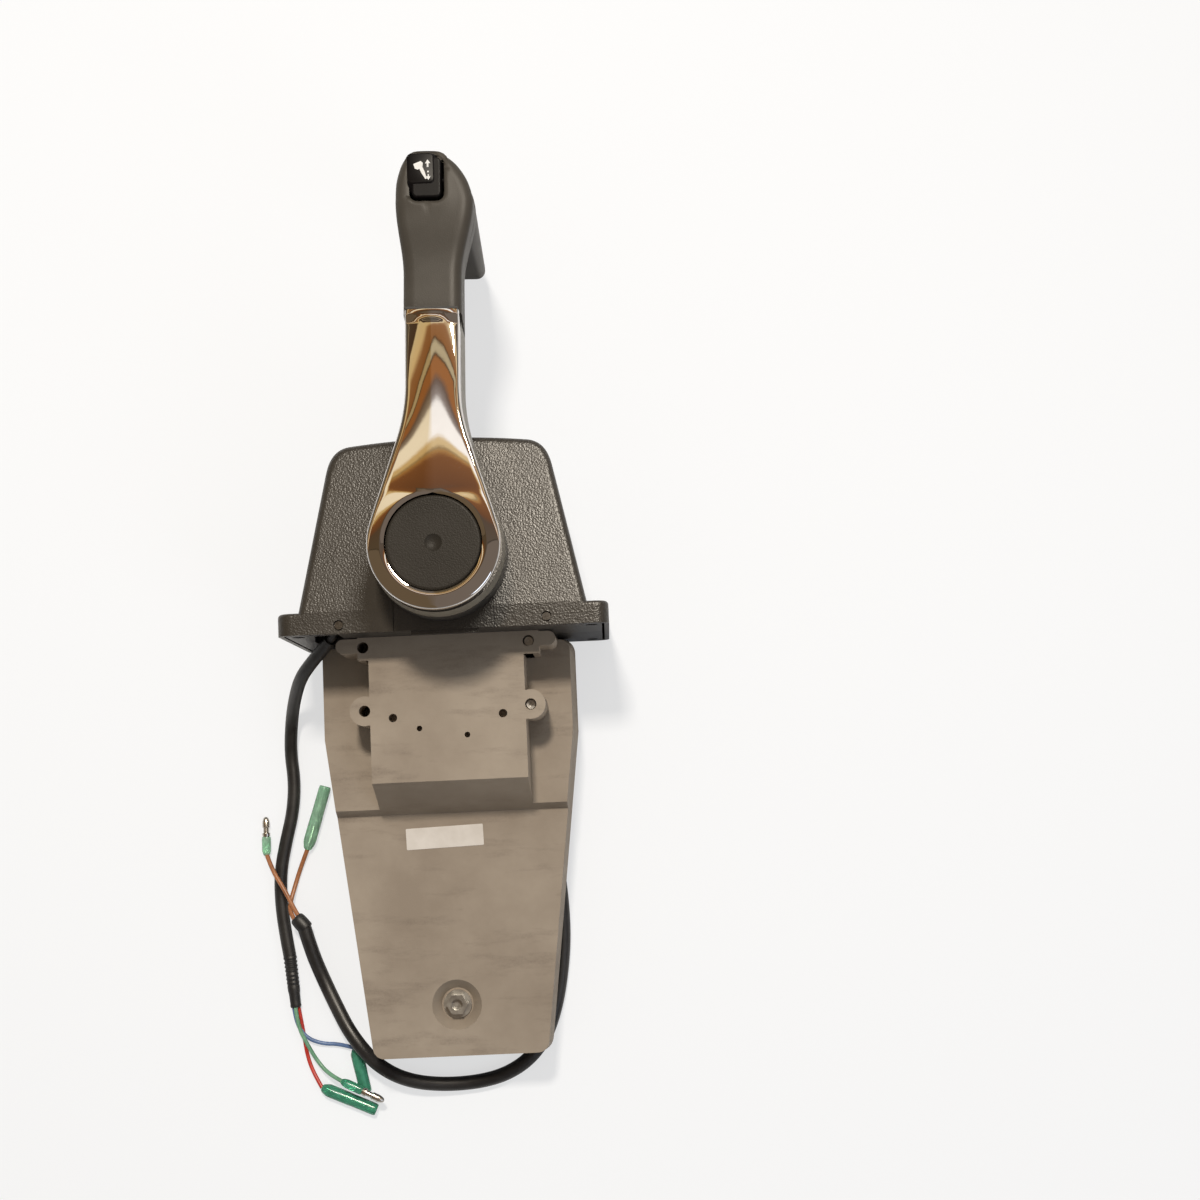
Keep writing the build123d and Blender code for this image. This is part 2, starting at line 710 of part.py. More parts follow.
# ---------------------------------------------------------------- far case: the steel back
neck_floor_z = far_neck_z + far_wall
bulge_floor_z = bulge_z + far_wall
with BuildPart() as far_case:
    with BuildSketch(Plane.XY.offset(far_plate_z)):
        add(case_outline(0))
        add(neck_outline(0, -12))
    extrude(amount=far_rim)
    with BuildSketch(Plane.XY.offset(bulge_z)):
        add(bulge_outline(0))
    extrude(amount=far_plate_z - bulge_z)
    with BuildSketch(Plane.XY.offset(far_neck_z)):
        add(neck_outline(0, -12))
    extrude(amount=far_plate_z - far_neck_z)
    with BuildSketch(Plane.XY.offset(bulge_floor_z)):
        add(bulge_outline(far_wall))
    extrude(amount=rim_z - bulge_floor_z, mode=Mode.SUBTRACT)
    with BuildSketch(Plane.XY.offset(neck_floor_z)):
        add(neck_outline(case_wall, -12))
    extrude(amount=rim_z - neck_floor_z, mode=Mode.SUBTRACT)
    # the screws' margin stands solid in the neck
    with BuildSketch(Plane.XY.offset(far_neck_z)):
        with Locations(*case_screw_places):
            Circle(case_post)
    extrude(amount=far_plate_z + far_rim - far_neck_z)
    with Locations((hub_x, hub_y, neck_floor_z - 0.5)):
        Cylinder(bush_radius + bush_wall, rear_bush_top - neck_floor_z + 0.5,
                 align=(Align.CENTER, Align.CENTER, Align.MIN))
    with Locations((*pivot, bulge_floor_z - 0.5)):
        Cylinder(pivot_radius + pivot_seat_wall, pivot_seat_z - bulge_floor_z + 0.5,
                 align=(Align.CENTER, Align.CENTER, Align.MIN))
    with Locations((*nut_place, bulge_floor_z - 0.5)):
        Cylinder(clamp_bolt_radius + clamp_bolt_wall, rim_z - gasket_thickness - bulge_floor_z + 0.5,
                 align=(Align.CENTER, Align.CENTER, Align.MIN))
    for x, y in case_screw_places:
        with Locations((x, y, rim_z)):
            Cylinder(case_screw_radius + screw_clearance, through, mode=Mode.SUBTRACT)
        with Locations((x, y, far_plate_z)):
            Cylinder(case_screw_head + 2 * screw_clearance, through,
                     align=(Align.CENTER, Align.CENTER, Align.MAX), mode=Mode.SUBTRACT)
    with Locations((hub_x, hub_y, rear_bush_top)):
        Cylinder(bush_radius, 2 * (rear_bush_top - neck_floor_z), mode=Mode.SUBTRACT)
    with Locations((*pivot, pivot_seat_z)):
        Cylinder(pivot_radius, 2 * (pivot_seat_z - pivot_low), mode=Mode.SUBTRACT)
    with Locations((*nut_place, bulge_z)):
        Cylinder(clamp_bolt_radius + clamp_bolt_fit, through, mode=Mode.SUBTRACT)
    with Locations((gland_x, -bulge_step_y, gland_z)):
        Cylinder(gland_radius, 4 * far_wall, rotation=(90, 0, 0), mode=Mode.SUBTRACT)
write(far_case, "far_case")

with BuildPart() as case_screws:
    with Locations(*[(x, y, far_plate_z) for x, y in case_screw_places]):
        Cylinder(case_screw_radius, case_screw_top - far_plate_z,
                 align=(Align.CENTER, Align.CENTER, Align.MIN))
        Cylinder(case_screw_head, 3.0, align=(Align.CENTER, Align.CENTER, Align.MAX))
        with Locations((0, 0, -3.0)):
            Cylinder(1.6, 3.0, mode=Mode.SUBTRACT)
write(case_screws, "case_screws")

with BuildPart() as base_screws:
    with Locations(*[(x, base_thickness, z) for x, z in base_screw_places]):
        Cylinder(base_screw_radius, base_screw_length, rotation=(90, 0, 0),
                 align=(Align.CENTER, Align.CENTER, Align.MIN))
        Cylinder(base_screw_head, 2.0, rotation=(-90, 0, 0), align=(Align.CENTER, Align.CENTER, Align.MIN))
write(base_screws, "base_screws")

with BuildPart() as pad_screws:
    with Locations(*[(pad_x + boss_x, y, pad_z - pad_hole_depth) for y in (-pad_screw_y, -boss_y)]):
        Cylinder(pad_hole - 0.05, pad_screw_length, align=(Align.CENTER, Align.CENTER, Align.MIN))
    chamfer(pad_screws.faces().sort_by(Axis.Z)[-2:].edges(), 0.6)
    with Locations(*[(pad_x + boss_x, y, pad_z - pad_hole_depth + pad_screw_length)
                     for y in (-pad_screw_y, -boss_y)]):
        Cylinder(1.3, 4.0, mode=Mode.SUBTRACT)
write(pad_screws, "pad_screws")

# ---------------------------------------------------------------- clamp bolt, its nut and the cable clamp
with BuildPart() as clamp_bolt:
    with Locations((*nut_place, bulge_z)):
        Cylinder(clamp_bolt_radius, bolt_end_z - bulge_z, align=(Align.CENTER, Align.CENTER, Align.MIN))
        Cylinder(bolt_washer, washer_thickness, align=(Align.CENTER, Align.CENTER, Align.MAX))
    with BuildSketch(Plane.XY.offset(floor_z)):
        with Locations(nut_place):
            RegularPolygon(bolt_across / 2, 6, major_radius=False)
    extrude(amount=bolt_head)
write(clamp_bolt, "clamp_bolt")

with BuildPart() as flange_nut:
    with Locations((*nut_place, plate_z - dish_depth)):
        Cylinder(nut_flange, 1.4, align=(Align.CENTER, Align.CENTER, Align.MIN))
    with BuildSketch(Plane.XY.offset(plate_z - dish_depth)):
        with Locations(nut_place):
            RegularPolygon(bolt_across / 2, 6, major_radius=False)
    extrude(amount=nut_height)
    with Locations((*nut_place, plate_z)):
        Cylinder(clamp_bolt_radius, through, mode=Mode.SUBTRACT)
write(flange_nut, "flange_nut")

with BuildPart() as cable_clamp:
    with Locations((case_x, nut_place[1], rim_z - gasket_thickness)):
        Box(2 * (outlet_spread + cable_outlet + 3.0), clamp_length, clamp_top - rim_z + gasket_thickness,
            align=(Align.CENTER, Align.CENTER, Align.MIN))
    for side in (-1, 1):
        with Locations((case_x + side * outlet_spread, nut_place[1], outlet_z)):
            Cylinder(cable_outlet, through, rotation=(90, 0, 0), mode=Mode.SUBTRACT)
    with Locations((*nut_place, clamp_top)):
        Cylinder(clamp_bolt_radius + clamp_bolt_fit, through, mode=Mode.SUBTRACT)
write(cable_clamp, "cable_clamp")

# ---------------------------------------------------------------- label plate, left bare
with BuildPart() as label_plate:
    with BuildSketch(Plane((label_x, label_y, plate_z), x_dir=(cos(radians(lean)), sin(radians(lean)), 0))):
        RectangleRounded(label_length, label_width, 0.6)
    extrude(amount=label_thickness)
write(label_plate, "label_plate")

# ---------------------------------------------------------------- gears
def gear_outline(teeth, count, middle):
    """Straight-flanked teeth, count of them, centred on the angle middle."""
    pitch = gear_module * teeth / 2
    root = pitch - dedendum
    half_pitch = pi * gear_module / 4 - backlash / 4
    half_tip = half_pitch - addendum * tan(radians(flank))
    half_root = half_pitch + (dedendum + 0.4) * tan(radians(flank))
    step = 360 / teeth
    with BuildSketch() as outline:
        first = middle - step * (count - 1) / 2
        with PolarLocations(0, count, start_angle=first, angular_range=count * step):
            Polygon((root - 0.4, -half_root), (pitch + addendum, -half_tip), (pitch + addendum, half_tip),
                    (root - 0.4, half_root), align=None)
    return outline.sketch


def cable_lever(name, teeth, count, reach, low, angle, pin_low):
    """Toothed sector with its arm below it, turning on the pivot pin. The arm's pin takes the cable's end."""
    root = gear_module * teeth / 2 - dedendum
    edge = root * sin(radians(reach))
    chord = root * cos(radians(reach))
    along = (cos(radians(angle)), sin(radians(angle)), 0)
    with BuildPart() as lever:
        with BuildSketch(Plane((*pivot, low))):
            Circle(root)
            with Locations((0, chord - root)):
                Rectangle(2 * root + 2, 2 * root, mode=Mode.SUBTRACT)
            Polygon((-edge, chord), (edge, chord), (wheel_hub - 2, -3), (2 - wheel_hub, -3), align=None)
            Circle(wheel_hub)
            add(gear_outline(teeth, count, 90))
        extrude(amount=gear_width)
        with BuildSketch(Plane((*pivot, low - arm_thickness), x_dir=along)):
            Circle(wheel_hub)
            with Locations((arm_reach, 0)):
                Circle(cable_pin + 3.5)
            make_hull()
        extrude(amount=arm_thickness)
        with BuildSketch(Plane((*pivot, pin_low), x_dir=along)):
            with Locations((arm_reach, 0)):
                Circle(cable_pin)
        extrude(amount=low - arm_thickness - pin_low)
        with Locations((*pivot, 0)):
            Cylinder(pivot_radius + running_fit, through, mode=Mode.SUBTRACT)
    write(lever, name)


cable_lever("shift_lever", shift_gear_teeth, 15, 55.0, shift_gear_z, shift_rest, pivot_low)
cable_lever("throttle_lever", throttle_gear_teeth, 19, 85.0, throttle_gear_z, throttle_rest,
            throttle_gear_z - arm_thickness - pin_length)

with BuildPart() as drive_gear:
    for teeth, low in ((shift_pinion_teeth, shift_gear_z), (throttle_pinion_teeth, throttle_gear_z)):
        with BuildSketch(Plane((*hub, low))):
            Circle(gear_module * teeth / 2 - dedendum)
            add(gear_outline(teeth, teeth, -90 + 180 / teeth + (teeth - 1) * 180 / teeth))
        extrude(amount=gear_width)
    with BuildSketch(Plane((*hub, shift_gear_z))):
        Circle(shaft_radius + 4.0)
    extrude(amount=throttle_gear_z + gear_width - shift_gear_z)
    with Locations((*hub, 0)):
        Cylinder(shaft_radius, through, mode=Mode.SUBTRACT)
write(drive_gear, "drive_gear")

with BuildPart() as detent_plate:
    with BuildSketch(Plane((*hub, detent_z - detent_width / 2))):
        Circle(detent_radius)
        Circle(shaft_radius, mode=Mode.SUBTRACT)
        first = 90 - detent_step
        with PolarLocations(detent_radius + 1.6, 3, start_angle=first, angular_range=3 * detent_step):
            Circle(detent_notch, mode=Mode.SUBTRACT)
    extrude(amount=detent_width)
write(detent_plate, "detent_plate")

# ---------------------------------------------------------------- shaft, its bushes and its pins
with BuildPart() as main_shaft:
    with Locations((*hub, neck_floor_z + 0.1)):
        Cylinder(shaft_radius, arm_front_z - neck_floor_z - 0.1,
                 align=(Align.CENTER, Align.CENTER, Align.MIN))
    with Locations((*hub, arm_front_z)):
        Cylinder(stem_radius + 0.3, 2 * (arm_front_z - stem_low + button_travel + 2.0), mode=Mode.SUBTRACT)
    with Locations((*hub, arm_front_z)):
        Cylinder(spring_bore, 2 * (arm_front_z - spring_seat), mode=Mode.SUBTRACT)
    with BuildSketch(Plane((*hub, circlip_z - 0.1))):
        Circle(shaft_radius + 1)
        Circle(shaft_radius - 0.6, mode=Mode.SUBTRACT)
    extrude(amount=circlip_thickness + 0.2, mode=Mode.SUBTRACT)
write(main_shaft, "main_shaft")

with BuildPart() as shaft_circlip:
    with BuildSketch(Plane((*hub, circlip_z))):
        Circle(shaft_radius + 1.8)
        Circle(shaft_radius - 0.5, mode=Mode.SUBTRACT)
        with Locations((0, -shaft_radius)):
            Rectangle(5.0, 8.0, mode=Mode.SUBTRACT)
    extrude(amount=circlip_thickness)
write(shaft_circlip, "shaft_circlip")

with BuildPart() as shaft_bushes:
    for low, high in ((front_boss_z, pad_z), (neck_floor_z, rear_bush_top)):
        with BuildSketch(Plane((*hub, low))):
            Circle(bush_radius)
            Circle(shaft_radius + running_fit, mode=Mode.SUBTRACT)
        extrude(amount=high - low)
write(shaft_bushes, "shaft_bushes")

with BuildPart() as pivot_pin:
    with Locations((*pivot, pivot_low)):
        Cylinder(pivot_radius, pivot_top - pivot_low, align=(Align.CENTER, Align.CENTER, Align.MIN))
write(pivot_pin, "pivot_pin")

with BuildPart() as friction_screw:
    with Locations((hub_x, hub_y + shaft_radius + running_fit, friction_z)):
        Cylinder(friction_screw_radius - 0.6, friction_tip + 0.5, rotation=(-90, 0, 0),
                 align=(Align.CENTER, Align.CENTER, Align.MIN))
    with Locations((hub_x, hub_y + shaft_radius + running_fit + friction_tip, friction_z)):
        Cylinder(friction_screw_radius, friction_thread, rotation=(-90, 0, 0),
                 align=(Align.CENTER, Align.CENTER, Align.MIN))
    with BuildSketch(Plane.XZ.offset(-hub_y - shaft_radius - running_fit - friction_tip - friction_thread)):
        with Locations((hub_x, friction_z)):
            RegularPolygon(friction_key, 6)
    extrude(amount=3.0, mode=Mode.SUBTRACT)
write(friction_screw, "friction_screw")


# ---------------------------------------------------------------- detent and neutral switch
def coil_spring(name, start, along, radius, wire, length, turns):
    """Open coil spring from a start point."""
    with BuildPart() as spring:
        with BuildLine() as coil:
            Helix(length / turns, length, radius, center=start, direction=along)
        with BuildSketch(Plane(coil.line @ 0, z_dir=coil.line % 0)):
            Circle(wire)
        sweep()
    write(spring, name)


with BuildPart() as detent_plunger:
    with Locations((hub_x, hub_y + detent_radius + touch_gap + 2.0, detent_z)):
        Cylinder(plunger_radius, detent_seat - hub_y - detent_radius - touch_gap - 2.0, rotation=(-90, 0, 0),
                 align=(Align.CENTER, Align.CENTER, Align.MIN))
        Cone(plunger_radius, 1.4, 2.0, rotation=(90, 0, 0), align=(Align.CENTER, Align.CENTER, Align.MIN))
    with Locations((hub_x, detent_seat, detent_z)):
        Cylinder(detent_spring_bore - 0.2, 2.0, rotation=(-90, 0, 0),
                 align=(Align.CENTER, Align.CENTER, Align.MIN))
write(detent_plunger, "detent_plunger")

coil_spring("detent_spring", (hub_x, detent_seat + 2.0 + 0.6, detent_z), (0, 1, 0), 3.8, 0.5,
            detent_plug_y - detent_seat - 2.0 - 1.2, 4)

with BuildPart() as detent_plug:
    with Locations((hub_x, detent_plug_y, detent_z)):
        Cylinder(detent_spring_bore, detent_boss_top - detent_plug_y, rotation=(-90, 0, 0),
                 align=(Align.CENTER, Align.CENTER, Align.MIN))
    with BuildSketch(Plane.XZ.offset(-detent_boss_top)):
        with Locations((hub_x, detent_z)):
            RegularPolygon(5.8, 6)
    extrude(amount=-3.0)
write(detent_plug, "detent_plug")

with BuildPart() as switch_body:
    with Locations((*switch_pillar, switch_z)):
        Box(switch_side, switch_side, switch_height)
    with Locations((switch_pillar[0] - switch_side / 2, switch_pillar[1], switch_z + 1.0)):
        Cylinder(switch_plunger + running_fit, 10.0, rotation=(0, 90, 0), mode=Mode.SUBTRACT)
    with Locations(*[(x, y, switch_z) for x, y in switch_screw_places]):
        Cylinder(switch_screw_radius, switch_height, mode=Mode.SUBTRACT)
write(switch_body, "switch_body")

with BuildPart() as switch_plunger_pin:
    plunger_low = hub_x + detent_radius + touch_gap
    plunger_high = switch_pillar[0] - switch_side / 2 + 5.0 - 2.0
    with Locations((plunger_low, switch_pillar[1], switch_z + 1.0)):
        Cylinder(switch_plunger, plunger_high - plunger_low, rotation=(0, 90, 0),
                 align=(Align.CENTER, Align.CENTER, Align.MIN))
    fillet(switch_plunger_pin.faces().sort_by(Axis.X)[0].edges(), 1.0)
write(switch_plunger_pin, "switch_plunger")

with BuildPart() as switch_screws:
    with Locations(*[(x, y, switch_z - switch_height / 2) for x, y in switch_screw_places]):
        Cylinder(switch_screw_radius, switch_screw_length, align=(Align.CENTER, Align.CENTER, Align.MIN))
        Cylinder(2 * switch_screw_radius, 1.6, align=(Align.CENTER, Align.CENTER, Align.MAX))
write(switch_screws, "switch_screws")


# ---------------------------------------------------------------- lever arm and its chrome cover
def joint_plane(shift):
    """Slanted plane where the lever's metal ends and the grip begins, moved up by a shift."""
    base = lever_plane(chrome_front_z)
    up = base.y_dir * cos(radians(joint_slope)) - base.z_dir * sin(radians(joint_slope))
    start = base.origin + base.y_dir * (joint_v + shift / cos(radians(joint_slope)))
    return Plane(start, x_dir=base.x_dir, z_dir=up)


chrome_change = -(arm_front_z - arm_back_z) * tan(radians(lever_draft))
grip_back_z = arm_back_z
tang_back_z = grip_back_z + grip_wall
lead_u = (tang_half + neck_half - grip_wall) / 2
lead_z = tang_back_z + 2.6
with BuildPart() as lever_arm:
    with BuildSketch(lever_plane(arm_back_z)):
        add(lever_outline(joint_v + 14, 0))
    extrude(amount=arm_front_z - arm_back_z, taper=lever_draft)
    split(bisect_by=joint_plane(0), keep=Keep.BOTTOM)
    with BuildSketch(lever_plane(tang_back_z)):
        with Locations((0, (tang_foot + tang_top) / 2)):
            Rectangle(2 * tang_half, tang_top - tang_foot)
    extrude(amount=arm_front_z - tang_back_z)
    with Locations((*hub, hub_boss_z + 2.0)):
        Cylinder(lever_boss, arm_back_z - hub_boss_z - 1.0, align=(Align.CENTER, Align.CENTER, Align.MIN))
    with Locations((*hub, 0)):
        Cylinder(shaft_radius, through, mode=Mode.SUBTRACT)
    with Locations((hub_x, hub_y, clamp_screw_z)):
        Cylinder(clamp_screw_radius, 2 * lever_boss, rotation=(90, 0, 0),
                 align=(Align.CENTER, Align.CENTER, Align.MIN), mode=Mode.SUBTRACT)
    with BuildSketch(lever_plane(arm_back_z)):
        with Locations((lead_u, (lead_start_v + joint_v + 20) / 2)):
            Rectangle(lead_groove, joint_v + 20 - lead_start_v)
    extrude(amount=lead_z + lead_groove / 2 - arm_back_z, mode=Mode.SUBTRACT)
    with Locations(*[lever_plane(arm_front_z).location * Location((0, v, 0)) for v in grip_screw_v]):
        Cylinder(grip_screw_radius + screw_clearance, through, mode=Mode.SUBTRACT)
write(lever_arm, "lever_arm")

with BuildPart() as lever_chrome:
    with BuildSketch(lever_plane(arm_front_z)):
        add(lever_outline(joint_v + 14, chrome_change))
    extrude(amount=chrome_front_z - arm_front_z, taper=lever_draft)
    fillet(lever_chrome.faces().sort_by(Axis.Z)[-1].edges(), chrome_edge)
    split(bisect_by=joint_plane(0), keep=Keep.BOTTOM)
    with Locations((*hub, chrome_front_z)):
        Cylinder(button_radius + button_clearance, through, mode=Mode.SUBTRACT)
write(lever_chrome, "lever_chrome")

with BuildPart() as lever_gasket:
    with BuildSketch(lever_plane(arm_back_z)):
        add(lever_outline(joint_v + 14, 0))
    extrude(amount=chrome_front_z - arm_back_z, taper=lever_draft)
    split(bisect_by=joint_plane(0), keep=Keep.TOP)
    split(bisect_by=joint_plane(gasket_gap), keep=Keep.BOTTOM)
    with BuildSketch(lever_plane(tang_back_z)):
        with Locations((0, joint_v)):
            Rectangle(2 * tang_half, through)
    extrude(amount=arm_front_z - tang_back_z, mode=Mode.SUBTRACT)
    with BuildSketch(lever_plane(arm_back_z)):
        with Locations((lead_u, joint_v)):
            Rectangle(lead_groove, through)
    extrude(amount=lead_z + lead_groove / 2 - arm_back_z, mode=Mode.SUBTRACT)
write(lever_gasket, "lever_gasket")

with BuildPart() as lever_clamp_screw:
    with Locations((hub_x, hub_y - shaft_radius, clamp_screw_z)):
        Cylinder(clamp_screw_radius, lever_boss - shaft_radius - 0.5, rotation=(90, 0, 0),
                 align=(Align.CENTER, Align.CENTER, Align.MIN))
    with BuildSketch(Plane.XZ.offset(lever_boss - 0.5 - hub_y)):
        with Locations((hub_x, clamp_screw_z)):
            RegularPolygon(1.4, 6)
    extrude(amount=-2.5, mode=Mode.SUBTRACT)
write(lever_clamp_screw, "lever_clamp_screw")


# ---------------------------------------------------------------- grip, in two shells, and its switch
def bar_outline(inset):
    """Section of the grip bar: the head of the lever down to the bar's lower side."""
    with BuildSketch() as outline:
        add(head_outline(100, inset))
        with Locations((0, bar_bottom + inset + 50)):
            Rectangle(100, 100, mode=Mode.INTERSECT)
        fillet(outline.vertices().group_by(Axis.Y)[0], bar_corner - inset)
    return outline.sketch


bar_change = (grip_split_z - bar_end_z) * tan(radians(bar_draft))
with BuildPart() as grip_near_shell:
    with BuildSketch(lever_plane(grip_split_z)):
        add(head_outline(80, 0))
    extrude(amount=grip_front_z - grip_split_z)
    fillet(grip_near_shell.faces().sort_by(Axis.Z)[-1].edges(), grip_edge)
    with BuildSketch(lever_plane(grip_split_z)):
        add(head_outline(80 - grip_wall, grip_wall))
    extrude(amount=grip_front_z - grip_wall - grip_split_z, mode=Mode.SUBTRACT)
    with BuildSketch(lever_plane(grip_front_z)):
        with Locations((rocker_u, rocker_v)):
            RectangleRounded(opening_width, opening_height, opening_corner)
    extrude(amount=switch_top_z - grip_front_z, mode=Mode.SUBTRACT)
    with Locations(*[lever_plane(arm_front_z).location * Location((0, v, 0)) for v in grip_screw_v]):
        Cylinder(grip_screw_radius + 2.0, grip_front_z - grip_wall - arm_front_z + 0.5,
                 align=(Align.CENTER, Align.CENTER, Align.MIN))
        Cylinder(grip_screw_radius, 2 * 5.5, mode=Mode.SUBTRACT)
    split(bisect_by=joint_plane(gasket_gap), keep=Keep.TOP)
write(grip_near_shell, "grip_near_shell")

with BuildPart() as grip_far_shell:
    with BuildSketch(lever_plane(grip_split_z)):
        add(head_outline(80, 0))
    extrude(amount=grip_back_z - grip_split_z)
    for depth, change in ((grip_split_z, 0.0), (bar_end_z, bar_change)):
        with BuildSketch(lever_plane(depth)):
            add(bar_outline(change))
    loft()
    with BuildSketch(lever_plane(grip_split_z)):
        add(head_outline(80 - grip_wall, grip_wall))
    extrude(amount=tang_back_z - grip_split_z, mode=Mode.SUBTRACT)
    for depth, change in ((grip_split_z, grip_wall), (bar_end_z + grip_wall, grip_wall + bar_change)):
        with BuildSketch(lever_plane(depth)):
            add(bar_outline(change))
    loft(mode=Mode.SUBTRACT)
    with Locations(*[lever_plane(grip_back_z).location * Location((0, v, 0)) for v in grip_screw_v]):
        Cylinder(grip_screw_radius + screw_clearance, 4 * grip_wall, mode=Mode.SUBTRACT)
        Cylinder(grip_screw_head + screw_clearance, 2 * grip_screw_recess, mode=Mode.SUBTRACT)
    split(bisect_by=joint_plane(gasket_gap), keep=Keep.TOP)
write(grip_far_shell, "grip_far_shell")

with BuildPart() as grip_screws:
    with Locations(*[lever_plane(grip_back_z + grip_screw_recess).location * Location((0, v, 0))
                     for v in grip_screw_v]):
        Cylinder(grip_screw_radius, arm_front_z + 5.0 - grip_back_z - grip_screw_recess,
                 align=(Align.CENTER, Align.CENTER, Align.MIN))
        Cylinder(grip_screw_head, 1.5, align=(Align.CENTER, Align.CENTER, Align.MAX))
write(grip_screws, "grip_screws")

with BuildPart() as trim_switch_body:
    with BuildSketch(lever_plane(switch_back_z)):
        with Locations((rocker_u, rocker_v)):
            Rectangle(ear_span + 2 * ear_width, switch_length)
    extrude(amount=switch_top_z - switch_back_z)
    with BuildSketch(lever_plane(switch_top_z)):
        for side in (-1, 1):
            with Locations((rocker_u + side * (ear_span + ear_width) / 2, rocker_v)):
                Rectangle(ear_width, 7.0)
    extrude(amount=grip_front_z - grip_wall - switch_top_z)
    with Locations(lever_plane(rocker_pivot_z).location * Location((rocker_u, rocker_v, 0))):
        Cylinder(rocker_pin + running_fit, through, rotation=(0, 90, 0), mode=Mode.SUBTRACT)
write(trim_switch_body, "trim_switch_body")

with BuildPart() as trim_rocker:
    with BuildSketch(lever_plane(rocker_back_z)):
        with Locations((rocker_u, rocker_v)):
            RectangleRounded(rocker_width, rocker_height, opening_corner - 0.5)
    extrude(amount=rocker_front_z - rocker_back_z, taper=6.0)
    fillet(trim_rocker.faces().sort_by(Axis.Z)[-1].edges(), 1.0)
    with Locations(lever_plane(rocker_pivot_z).location * Location((rocker_u, rocker_v, 0))):
        Cylinder(rocker_pin, ear_span + 2 * ear_width, rotation=(0, 90, 0))
write(trim_rocker, "trim_rocker")

# ---------------------------------------------------------------- free-throttle button and its spring
with BuildPart() as free_throttle_button:
    with Locations((*hub, button_front_z)):
        Cylinder(button_radius, button_thickness, align=(Align.CENTER, Align.CENTER, Align.MAX))
    fillet(free_throttle_button.faces().sort_by(Axis.Z)[-1].edges(), 1.5)
    with Locations((*hub, stem_low)):
        Cylinder(stem_radius, button_front_z - 1.0 - stem_low, align=(Align.CENTER, Align.CENTER, Align.MIN))
    with Locations((*hub, button_front_z + dimple_sphere - dimple_depth)):
        Sphere(dimple_sphere, mode=Mode.SUBTRACT)
write(free_throttle_button, "free_throttle_button")

coil_spring("button_spring", (*hub, spring_seat + 0.6), (0, 0, 1), 5.0, 0.5,
            button_front_z - button_thickness - spring_seat - 1.2, 6)


# ---------------------------------------------------------------- leads, with their connectors
def lead_tube(name, route, diameter, beside=()):
    """Round lead: straight runs joined by arcs as large as they allow, cut flush with what it meets."""
    radii = []
    lost = 0.0
    runs = [Vector(*after) - Vector(*before) for before, after in zip(route, route[1:])]
    for inward, outward in zip(runs, runs[1:]):
        turn = radians(inward.get_angle(outward))
        radii.append(0.45 * min(inward.length, outward.length) / tan(turn / 2))
        lost += radii[-1] * (2 * tan(turn / 2) - turn)
    length = sum(run.length for run in runs) - lost
    with BuildPart() as tube:
        with BuildLine() as path:
            FilletPolyline(*route, radius=radii)
        with BuildSketch(Plane(path.line @ 0, z_dir=path.line % 0)):
            Circle(diameter / 2)
        sweep()
        share = tube.part.volume / (pi * diameter ** 2 / 4 * length)
        for neighbour in beside:
            add(neighbour, mode=Mode.SUBTRACT)
    shown = [round(radius, 1) for radius in radii]
    print(f"{name}: length {length:.1f}, volume share {share:.4f}, radii {shown}")
    write(tube, name)
    return tube.part


def lead_end(name, start, end, sections, beside=()):
    """Turned piece on a lead, from start to end: each section is a share of the length and two radii."""
    axis = Vector(*end) - Vector(*start)
    with BuildPart() as piece:
        along = 0.0
        for share, low, high in sections:
            with BuildSketch(Plane(Vector(*start) + axis * along, z_dir=axis.normalized())):
                Circle(low)
            with BuildSketch(Plane(Vector(*start) + axis * (along + share), z_dir=axis.normalized())):
                Circle(high)
            loft()
            along += share
        for neighbour in beside:
            add(neighbour, mode=Mode.SUBTRACT)
    write(piece, name)
    return piece.part


bullet_sections = ((0.5, bullet_radius, bullet_radius), (0.22, 1.6, 1.6), (0.28, 2.1, 1.5))
socket_sections = ((0.12, sleeve_radius - 0.9, sleeve_radius), (0.88, sleeve_radius, sleeve_radius))

# the trim lead, out of the base plate's opening, and its three wires
trim_lead = lead_tube("trim_lead", [
    (-64.6, 1.1, 10.0), (-69.4, -3.4, 5.0), (-76.2, -9.2, -1.5), (-84.4, -16.8, -12.0), (-90.8, -26.4, -30.0),
    (-95.6, -38.0, -46.0), (-97.8, -55.9, -52.2), (-95.9, -72.9, -52.4), (-97.3, -89.8, -52.4),
    (-101.7, -106.4, -52.4), (-105.3, -123.6, -52.4), (-105.2, -141.4, -52.4), (-103.1, -158.7, -52.4),
    (-101.2, -169.9, -52.4)], trim_lead_diameter)
trim_boot = lead_end("trim_boot", (-101.2, -169.9, -52.4), (-98.5, -198.2, -52.4),
                     ((0.6, trim_lead_diameter / 2, 3.3), (0.4, 3.3, 2.8)), [trim_lead])
connector_red = lead_end("connector_red", (-85.2, -242.9, -52.4), (-55.3, -256.3, -52.4), socket_sections)
connector_blue = lead_end("connector_blue", (-65.9, -222.2, -52.4), (-60.9, -246.3, -52.4), socket_sections)
connector_green = lead_end("connector_green", (-72.2, -239.4, -45.5), (-50.2, -250.6, -45.5), bullet_sections)
lead_tube("wire_red", [(-97.2, -198.2, -53.15), (-96.2, -205.0, -54.0), (-94.9, -213.5, -54.9),
                       (-93.6, -224.0, -54.9), (-90.5, -234.0, -54.4), (-85.2, -242.9, -52.4)],
          signal_wire, [trim_boot, connector_red])
lead_tube("wire_blue", [(-99.8, -198.2, -53.15), (-98.9, -206.5, -52.4), (-93.2, -215.3, -52.1),
                        (-84.2, -219.2, -53.8), (-74.9, -219.6, -54.5), (-65.9, -222.2, -52.4)],
          signal_wire, [trim_boot, connector_blue])
